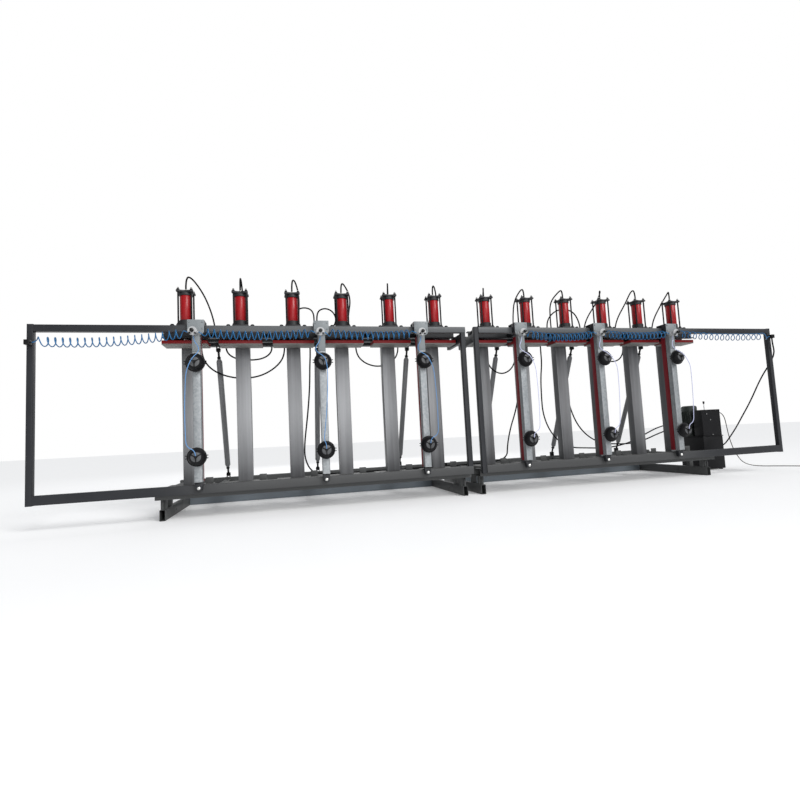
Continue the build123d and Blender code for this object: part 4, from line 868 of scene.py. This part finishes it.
def soft_tube(name, colour, roughness, lacquer, gloss=0.3):
    """Extruded hose: an even colour with faint drawing marks and handling dust."""
    return sprayed_paint(name, colour, roughness, 0.18, 0.04, gloss, lacquer=lacquer)


blue_nylon = soft_tube("air_line_pale_blue", (0.095, 0.235, 0.47), 0.3, 0.2)
clear_nylon = soft_tube("air_line_clear", (0.5, 0.52, 0.72), 0.3, 0.2)
air_bows = ((-66, -72), (34, -22), (70, 80), (72, 70), (96, 66), (96, 66))
air_radius = 0.0035
hang_y = -0.764
low_port_y = -0.758
for number, (x, (high_bow, low_bow)) in enumerate(zip(clamp_x, air_bows), 1):
    clamp = "clamp_" + str(number)
    hand = math.copysign(1, high_bow)
    bend = valve_x - 0.048 * hand
    path = [
        (valve_x, port_y, 1.642),
        (valve_x, port_y, 1.592),
        (bend, port_y - 0.026, 1.53),
        (bend, port_y - 0.064, 1.474),
        (0.012 * hand, hang_y, 1.424),
        (0.012 * hand + 0.00055 * high_bow, hang_y, 1.348),
    ]
    for k in range(7):
        share = k / 6
        bow = high_bow + (low_bow - high_bow) * share + 10 * hand * math.sin(math.pi * share)
        path.append((0.001 * bow, hang_y, 1.28 - 0.63 * share))
    path += [(0, low_port_y, 0.616), (0, low_port_y, 0.57)]
    path = [(x + a, b, c) for a, b, c in path]
    nylon = blue_nylon if number <= 3 else clear_nylon
    laid_hose(clamp + "_air_line", path, air_radius, nylon, clamp, "spiral_blue", clamp + "_actuators")

# Air spirals: blue coiled hoses carry air from the end posts to the first valve and on from clamp to clamp.
# They are wound from thin polyurethane tube and sag a little between their ends.
spiral_blue = soft_tube("spiral_blue_tube", (0.009, 0.112, 0.27), 0.32, 0.15)
spiral_radius = 0.0045
coil_radius = 0.04
spiral_y = -0.66
light_sag = 0.03
deep_sag = 0.046
reach = 0.042
stub = 0.012
half_turn = 6
tang_growth = 0.7
valve_tang = 0.064
left_tang = 0.1
right_tang = 0.19
bulkhead_x = 3.985
bulkhead_y = -0.599
bulkhead_heights = (1.594, 1.652)
bulkhead_port = 3.951


def spiral_end(number, hand):
    """Where a spiral screws on a clamp's valve, or on the bulkhead of an end post, which has number 0."""
    if number == 0:
        return Vector((-hand * bulkhead_port, bulkhead_y, bulkhead_heights[hand < 0]))
    return Vector((clamp_x[number - 1] + valve_x + hand * reach, port_y, valve_z))


def tang(step, port, size):
    """One step of the half turn in which a spiral opens out: how far along, its middle, depth and height."""
    side = math.copysign(1, port - spiral_y)
    middle = (port + spiral_y - side * coil_radius) / 2
    deep = abs(port - middle)
    along = stub + (size - stub) * (step / half_turn) ** tang_growth
    return along, middle, deep, min(deep, coil_radius)


def spiral_line(start, end, turns, start_tang, sag):
    """The points of a spiral between two ports: a tang, the sagging curls and a tang."""
    way = math.copysign(1, end.x - start.x)
    span = abs(end.x - start.x)
    steps = round(2 * half_turn * turns)
    begin = 0 if start.y < spiral_y else math.pi
    points = [start]
    for k in range(steps + 1):
        if k < half_turn:
            along, middle, deep, high = tang(k, start.y, start_tang)
        elif k > steps - half_turn:
            back, middle, deep, high = tang(steps - k, end.y, valve_tang)
            along = span - back
        else:
            along = start_tang + (span - start_tang - valve_tang) * (k - half_turn) / (steps - 2 * half_turn)
            middle, deep, high = spiral_y, coil_radius, coil_radius
        angle = begin + math.pi * k / half_turn
        share = along / span
        centre = start.lerp(end, share)
        drop = 4 * sag * share * (1 - share)
        y = middle - deep * math.cos(angle)
        points.append((centre.x, y, centre.z - drop - way * high * math.sin(angle)))
    points.append(end)
    return points


spans = (
    (0, 1, 20.5, left_tang, deep_sag),
    (1, 2, 18, valve_tang, light_sag),
    (2, 3, 16, valve_tang, light_sag),
    (0, 6, 16.5, right_tang, light_sag),
    (6, 5, 16, valve_tang, light_sag),
    (5, 4, 16, valve_tang, deep_sag),
)
for number, (near, far, turns, start_tang, sag) in enumerate(spans, 1):
    hand = 1 if far <= 3 else -1
    start = spiral_end(near, hand)
    end = spiral_end(far, -hand)
    path = spiral_line(start, end, turns, start_tang, sag)
    spiral = hose_curve("spiral_" + str(number), path, spiral_radius)
    spiral.data.splines[0].resolution_u = 2
    spiral.data.bevel_resolution = 2
    core = middle_line(spiral)
    alone(spiral)
    bpy.ops.object.convert(target="MESH")
    spiral.data.materials.append(spiral_blue)
    smooth(spiral, 60)
    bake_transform(spiral)
    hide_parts("spiral_hoses_left" if start.x < 0 else "spiral_hoses_right")

# Oil lines: a black manifold bar behind each rear beam feeds one hose to every cylinder cap.
# The hoses are steel-braided rubber; each leaves its cap upright and comes down behind the top beam.
rubber = soft_tube("hose_black_rubber", (0.003, 0.003, 0.0035), 0.55, 0.0, 0.06)
rolled_copy("oil_manifolds", "manifold_bars", 0.003, black_paint, "black_steel")

hose_radius = 0.008
oil_y = 0.015
z_union = 1.74
z_port = 1.76
z_under = 1.67
z_cap_fitting = 2.169
hose_sides = (
    (35, 125, 215), (0, 4, 0), (41, 80, 70), (54, 137, 100), (30, 50, 60), (70, 130, 30),
    (60, 100, 115), (24, 4, 17), (36, -14, 30), (115, 138, -15), (52, 66, -60), (105, 110, 0),
)
rises = (0.161, 0.161, 0.16, 0.134, 0.149, 0.136, 0.122, 0.122, 0.122, 0.13, 0.148, 0.14)
hose_depth = oil_y - press_y
fittings = []


def oil_hose(name, path, node):
    """One oil hose between two fittings of the press."""
    laid_hose(name, path, hose_radius, rubber, "frame", "black_rubber", node)


def union(spot, nut_at, way=(0, 0, 1), across=0.022, thick=0.012, length=0.02):
    """A hose end: a six-sided nut and a round ferrule."""
    fittings.append(hex_nut(across, thick, nut_at, way))
    fittings.append(lay(rod(0.0105, length, 0.001, 16), spot, way))


for number, (x, sides, rise) in enumerate(zip(row, hose_sides, rises), 1):
    peak, beside, lean = [0.001 * side for side in sides]
    path = [
        (x, press_y, z_cap_fitting),
        (x, press_y, z_cap_fitting + 0.8 * rise),
        (x + peak, press_y + 0.38 * hose_depth, z_cap_fitting + rise),
        (x + beside, press_y + 0.78 * hose_depth, z_cap_fitting + 0.2 * rise),
        (x + 0.3 * beside + 0.7 * lean, oil_y - 0.004, z_cap_fitting - 0.15),
        (x + lean, oil_y + 0.012, z_cap_fitting - 0.3),
        (x + lean, oil_y, z_port + 0.06),
        (x + lean, oil_y, z_port),
    ]
    oil_hose("cylinder_hose_" + str(number), path, "cylinder_hoses")
    cap_spot = (x, press_y, z_cap_top)
    union(cap_spot, cap_spot, across=0.025, length=0.022)
    port_spot = (x + lean, oil_y, z_union)
    union(port_spot, port_spot)

# Oil supply: jumper hoses hang in loops under the manifolds, one line crosses between the modules.
# Feed and return lines come down behind the right module and run on to the power unit.
jumpers = (
    ((-2.48, 0), (-2.48, -0.06), (-2.39, -0.128), (-2.25, -0.144), (-2.11, -0.128), (-2.02, -0.06), (-2.02, 0)),
    (
        (-2.72, 0), (-2.72, -0.1), (-2.64, -0.23), (-2.49, -0.31), (-2.31, -0.338), (-2.13, -0.31),
        (-1.98, -0.22), (-1.89, -0.1), (-1.89, 0),
    ),
    ((-1.12, 0), (-1.12, -0.09), (-1.03, -0.19), (-0.88, -0.236), (-0.73, -0.19), (-0.64, -0.09), (-0.64, 0)),
    ((0.42, 0), (0.42, -0.13), (0.48, -0.28), (0.62, -0.35), (0.76, -0.28), (0.82, -0.13), (0.82, 0)),
    ((1.99, 0), (1.99, -0.09), (2.06, -0.19), (2.17, -0.214), (2.27, -0.18), (2.33, -0.09), (2.33, 0)),
)
under_ports = []
for number, bends in enumerate(jumpers, 1):
    oil_hose("jumper_" + str(number), [(x, oil_y, z_under + drop) for x, drop in bends], "supply_hoses")
    under_ports += [bends[0][0], bends[-1][0]]

arches = (
    (
        (-1.765, 0), (-1.765, 0.15), (-1.765, 0.316), (-1.664, 0.358), (-1.566, 0.316), (-1.566, 0.15),
        (-1.566, 0),
    ),
    (
        (-1.538, 0), (-1.538, 0.15), (-1.53, 0.31), (-1.44, 0.352), (-1.35, 0.31), (-1.318, 0.205),
        (-1.38, 0.095), (-1.38, 0),
    ),
    (
        (1.262, 0), (1.262, 0.1), (1.29, 0.24), (1.4, 0.35), (1.55, 0.39), (1.68, 0.34), (1.732, 0.22),
        (1.735, 0.1), (1.735, 0),
    ),
)
for number, bends in enumerate(arches, 1):
    top = max(rise for x, rise in bends)
    path = [(x, oil_y + 0.034 * rise / top, z_port + rise) for x, rise in bends]
    for end in (1, -2):
        path[end] = (path[end][0], oil_y, path[end][2])
    oil_hose("arch_" + str(number), path, "supply_hoses")
    for x in (bends[0][0], bends[-1][0]):
        union((x, oil_y, z_union), (x, oil_y, z_union))

line_end = (3.68, 0.215)
port_heights = (0.56, 0.62)
feed_x = 1.47
return_x = 1.156
feed_run = (
    (0, 0, 0), (0, 0, -0.08), (-0.008, 0.01, -0.21), (0.01, 0.024, -0.38), (0.02, 0.034, -0.59),
    (0.06, 0.04, -0.8), (0.15, 0.048, -1.0), (0.3, 0.06, -1.15), (0.5, 0.084, -1.235), (0.72, 0.1, -1.255),
    (0.94, 0.096, -1.262), (1.16, 0.11, -1.225), (1.37, 0.13, -1.16), (1.58, 0.15, -1.11),
    (1.79, 0.188, -1.085),
)
return_run = (
    (0, 0, 0), (0, 0, -0.08), (0.008, 0.012, -0.22), (-0.01, 0.03, -0.4), (0, 0.06, -0.61),
    (0.018, 0.09, -0.82), (0.1, 0.12, -1.02), (0.24, 0.15, -1.18), (0.43, 0.17, -1.27), (0.65, 0.19, -1.285),
    (0.88, 0.184, -1.3), (1.11, 0.196, -1.29), (1.34, 0.186, -1.24), (1.56, 0.19, -1.15),
    (1.77, 0.196, -1.07), (1.98, 0.19, -1.035),
)
for name, x, run, height in (
    ("feed_line", feed_x, feed_run, port_heights[0]),
    ("return_line", return_x, return_run, port_heights[1]),
):
    path = [(x + a, oil_y + b, z_under + c) for a, b, c in run]
    path += [(line_end[0] - 0.09, line_end[1], height), (line_end[0], line_end[1], height)]
    oil_hose(name, path, "supply_hoses")
    under_ports.append(x)

cross_x = -1.62
cross_end = 0.88
z_lie = 0.2828
cross_run = (
    (0, 0, 0), (0, 0, -0.08), (-0.01, 0.014, -0.22), (-0.016, 0.02, -0.4), (-0.034, 0.034, -0.61),
    (-0.06, 0.042, -0.82), (-0.09, 0.05, -1.03), (-0.096, 0.06, -1.21),
)
climb = (
    (0.65, 0.074, 0.04), (0.66, 0.066, 0.2), (0.71, 0.058, 0.4), (0.79, 0.048, 0.6), (0.84, 0.036, 0.81),
    (0.866, 0.024, 1.02), (0.876, 0.008, 1.2),
)
path = [(cross_x + a, oil_y + b, z_under + c) for a, b, c in cross_run]
path.append((cross_x - 0.02, oil_y + 0.072, z_lie + 0.02))
for k in range(1, 11):
    path.append((cross_x - 0.02 + 0.2 * k, oil_y + 0.072 + 0.014 * (k % 2), z_lie))
path += [(a, oil_y + b, z_lie + c) for a, b, c in climb]
path += [(cross_end, oil_y, z_under - 0.08), (cross_end, oil_y, z_under)]
oil_hose("cross_line", path, "supply_hoses")
under_ports += [cross_x, cross_end]

for x in under_ports:
    union((x, oil_y, z_under), (x, oil_y, z_under + 0.01), thick=0.01)
for z in port_heights:
    union((line_end[0], line_end[1], z), (line_end[0] + 0.008, line_end[1], z), (1, 0, 0))
fitting_steel = plated("fitting_zinc", (0.5, 0.49, 0.44), 0.35)
fixed("hose_ends", fittings, fitting_steel, "plated_steel", "hose_fittings")

bulkheads = []
for hand, z in zip((-1, 1), bulkhead_heights):
    x = hand * bulkhead_x
    bulkheads.append(sawn_bar((x - 0.022, -0.621, z - 0.022), (x + 0.022, -0.565, z + 0.022), 0.005, 3))
    port = turned(((0, 0.009), (0.022, 0.009), (0.022, 0.008), (0.034, 0.0065)), 12)
    bulkheads.append(lay(port, (x, bulkhead_y, z), (-hand, 0, 0)))
fixed("bulkhead_blocks", bulkheads, knob_black, "black_plastic", "hose_fittings")

# Power unit: a black oil tank stands on four feet behind the right rail end, with its lid bolted down.
# The motor stands on its bell housing, a valve block carries a hand lever, and the control box faces the front.
unit_paint = sprayed_paint("unit_black_paint", (0.006, 0.006, 0.007), 0.45, 0.2, gloss=0.15)
tank_x = (3.48, 3.8)
tank_y = (0.05, 0.44)
lid_over = 0.006
z_tank = 0.442
z_lid = 0.45
lid_low = (tank_x[0] - lid_over, tank_y[0] - lid_over, z_tank)
lid_high = (tank_x[1] + lid_over, tank_y[1] + lid_over, z_lid)
tank_parts = [
    sawn_bar((tank_x[0], tank_y[0], 0.012), (tank_x[1], tank_y[1], z_tank), 0.008, 3),
    sawn_bar(lid_low, lid_high, 0.002),
]
for x in (3.52, 3.76):
    for y in (0.09, 0.4):
        tank_parts.append(lay(turned(((0, 0.022), (0.008, 0.022), (0.012, 0.018)), 20), (x, y, 0)))
for x in (3.484, 3.64, 3.796):
    for y in (0.054, 0.436):
        tank_parts.append(hex_nut(0.008, 0.004, (x, y, z_lid)))
fixed("oil_tank_and_lid", tank_parts, unit_paint, "unit_black", "oil_tank")

box_x = (3.49, 3.79)
box_y = (0.05, 0.19)
control = sawn_bar((box_x[0], box_y[0], z_lid), (box_x[1], box_y[1], 0.8), 0.004, 3)
shape = work_on(control)
for face in shape.faces:
    face.select_set(face.normal.y < -0.9 and face.calc_area() > 0.05)
bpy.ops.mesh.inset(thickness=0.01, depth=0.0)
bpy.ops.mesh.inset(thickness=0.002, depth=-0.002)
leave_all()
fixed("control_cabinet", [control], unit_paint, "unit_black", "control_box")
buttons = []
for x, z in ((3.57, 0.742), (3.622, 0.662), (3.64, 0.465)):
    button = turned(((0, 0.009), (0.003, 0.009), (0.003, 0.007), (0.007, 0.007), (0.008, 0.0055)), 20)
    buttons.append(lay(button, (x, box_y[0], z), front_way))
button_rim = plated("button_rim_dull", (0.22, 0.22, 0.22), 0.4)
fixed("push_buttons", buttons, button_rim, "plated_steel", "control_box")

motor_green = sprayed_paint("motor_grey_green", (0.026, 0.032, 0.029), 0.45, 0.2)
motor_at = (3.58, 0.335)
fin_count = 24
motor_parts = [
    turned(((z_lid, 0.08), (0.462, 0.08), (0.47, 0.066), (0.52, 0.07), (0.53, 0.08), (0.54, 0.08)), 40),
    turned((
        (0.54, 0.086), (0.548, 0.095), (0.566, 0.095), (0.57, 0.09), (0.79, 0.09),
        (0.794, 0.095), (0.85, 0.095), (0.863, 0.088), (0.87, 0.07),
    ), 40),
]
for k in range(fin_count):
    fin = sawn_bar((0.088, -0.0018, 0.572), (0.104, 0.0018, 0.788), 0.0008, 1)
    fin.data.transform(Matrix.Rotation(2 * math.pi * k / fin_count, 4, "Z"))
    motor_parts.append(fin)
lay(fixed("pump_motor", motor_parts, motor_green, "motor_green", "motor"), (motor_at[0], motor_at[1], 0))

lever_at = (3.745, 0.245)
z_block = 0.69
z_pivot = 0.705
block_parts = [sawn_bar((3.7, 0.2, z_lid), (3.79, 0.29, z_block), 0.003)]
for hand in (-1, 1):
    near = lever_at[0] + hand * 0.0083
    block_parts.append(sawn_bar((near, 0.23, z_block), (near + hand * 0.008, 0.26, 0.72), 0.002))
block_parts.append(lay(rod(0.005, 0.0366, 0.001, 16), (3.7267, lever_at[1], z_pivot), (1, 0, 0)))
for z in (0.49, 0.65):
    for x in (3.715, 3.775):
        block_parts.append(hex_nut(0.013, 0.006, (x, 0.2, z), front_way))
fixed("lever_valve_block", block_parts, fitting_steel, "plated_steel", "valve_block")

hub = turned(((0, 0.011), (0.001, 0.012), (0.015, 0.012), (0.016, 0.011)), 24)
lay(hub, (3.737, lever_at[1], z_pivot), (1, 0, 0))
arm = lay(rod(0.0055, 0.186, 0.001, 16), (lever_at[0], lever_at[1], 0.714))
fixed("lever_arm", [hub, arm], chrome, "plated_steel", "valve_lever", "lever")
grip = turned((
    (-0.0178, 0.0075), (-0.015, 0.0095), (0.004, 0.0125),
    (0.013, 0.0125), (0.0165, 0.0105), (0.0178, 0.006),
), 24)
lay(grip, (lever_at[0], lever_at[1], 0.905))
fixed("lever_grip", [grip], knob_black, "black_plastic", "valve_lever", "lever", angle=60)

# Air feed and mains: a black air hose hangs from the right bulkhead to the tank's side.
# The mains lead leaves the control box, lies on the floor and ends in a tied coil with its plug.
air_path = (
    (bulkhead_x, bulkhead_y, 1.63), (bulkhead_x, bulkhead_y, 1.56), (4.029, -0.58, 1.45), (4.041, -0.5, 1.33),
    (4.015, -0.42, 1.21), (4.005, -0.34, 1.08), (4.009, -0.26, 0.95), (4.015, -0.17, 0.82),
    (4.001, -0.08, 0.68), (3.979, 0.0, 0.54), (3.935, 0.08, 0.4), (3.88, 0.13, 0.3), (3.8, 0.13, 0.3),
)
laid_hose("air_feed_hose", air_path, hose_radius, rubber, "frame", "black_rubber", "air_hose")

cable_sheath = soft_tube("mains_sheath_olive", (0.024, 0.021, 0.013), 0.45, 0.05)
cable_radius = 0.005
gland = Vector((3.79, 0.12, 0.765))
coil_at = Vector((4.91, -0.64, 0.0065))
coil_turn = 0.058
coil_loops = 4
coil_pitch = 0.014
coil_steps = 12
drop_run = (
    (0, 0, 0), (0.08, 0, 0), (0.14, -0.006, -0.07), (0.16, -0.004, -0.18), (0.176, -0.008, -0.32),
    (0.21, -0.01, -0.46), (0.26, -0.02, -0.59), (0.33, -0.04, -0.7),
)
floor_run = (
    (0.43, -0.08), (0.54, -0.15), (0.64, -0.25), (0.72, -0.36), (0.79, -0.48), (0.87, -0.6), (0.96, -0.68),
    (1.05, -0.702),
)
path = [gland + Vector(step) for step in drop_run]
for k, (a, b) in enumerate(floor_run):
    path.append((gland.x + a, gland.y + b, coil_at.z + (0.012 if k == 0 else 0)))
for k in range(coil_steps * coil_loops + 1):
    angle = math.pi / 2 - 2 * math.pi * k / coil_steps
    height = coil_at.z + coil_pitch * k / coil_steps
    path.append((coil_at.x + coil_turn * math.cos(angle), coil_at.y + coil_turn * math.sin(angle), height))
plug_at = Vector((coil_at.x + 0.26, coil_at.y + coil_turn + 0.01, 0.018))
path += [
    (coil_at.x + 0.07, coil_at.y + coil_turn + 0.003, 0.05),
    (plug_at.x - 0.1, plug_at.y, 0.024),
    (plug_at.x - 0.03, plug_at.y, plug_at.z),
    (plug_at.x, plug_at.y, plug_at.z),
]
mains = hose_curve("mains_lead", path, cable_radius)
mains.data.materials.append(cable_sheath)
belongs(mains, "frame", "black_rubber", "mains_cable", "mains_coil")

relief = lay(turned(((0, 0.0095), (0.008, 0.0095), (0.01, 0.008), (0.04, 0.0056)), 20), gland, (1, 0, 0))
fixed("mains_gland", [relief], knob_black, "black_plastic", "control_box")

plug_long = 0.052
plug = lay(turned((
    (0, 0.007), (0.012, 0.011), (0.024, 0.0165), (0.028, 0.018), (0.05, 0.018), (plug_long, 0.0165),
), 24), plug_at, (1, 0, 0))
plug_body = fixed("mains_plug_body", [plug], knob_black, "black_plastic", "mains_plug")
pin_out = 0.009
pin_side = 0.002
pins = []
for turn in (90, 210, 330):
    y = plug_at.y + pin_out * math.cos(math.radians(turn))
    z = plug_at.z + pin_out * math.sin(math.radians(turn))
    low = (plug_at.x + plug_long, y - pin_side, z - pin_side)
    pins.append(sawn_bar(low, (plug_at.x + 0.07, y + pin_side, z + pin_side), 0.0006))
plug_pins = fixed("mains_plug_pins", pins, valve_bright, "plated_steel", "mains_plug")

tie_half = (0.004, 0.0089)
tie_z = (0.0002, 0.0738)
tie_y = coil_at.y - coil_turn
tie_low = (coil_at.x - tie_half[0], tie_y - tie_half[1], tie_z[0])
tie_high = (coil_at.x + tie_half[0], tie_y + tie_half[1], tie_z[1])
strap = hollowed(sawn_bar(tie_low, tie_high, 0.002), 0, 0.9, 0.0015)
strap.name = "coil_tie"
strap.data.materials.append(knob_black)
belongs(strap, "frame", "black_plastic", "mains_coil")
middle_line(mains)
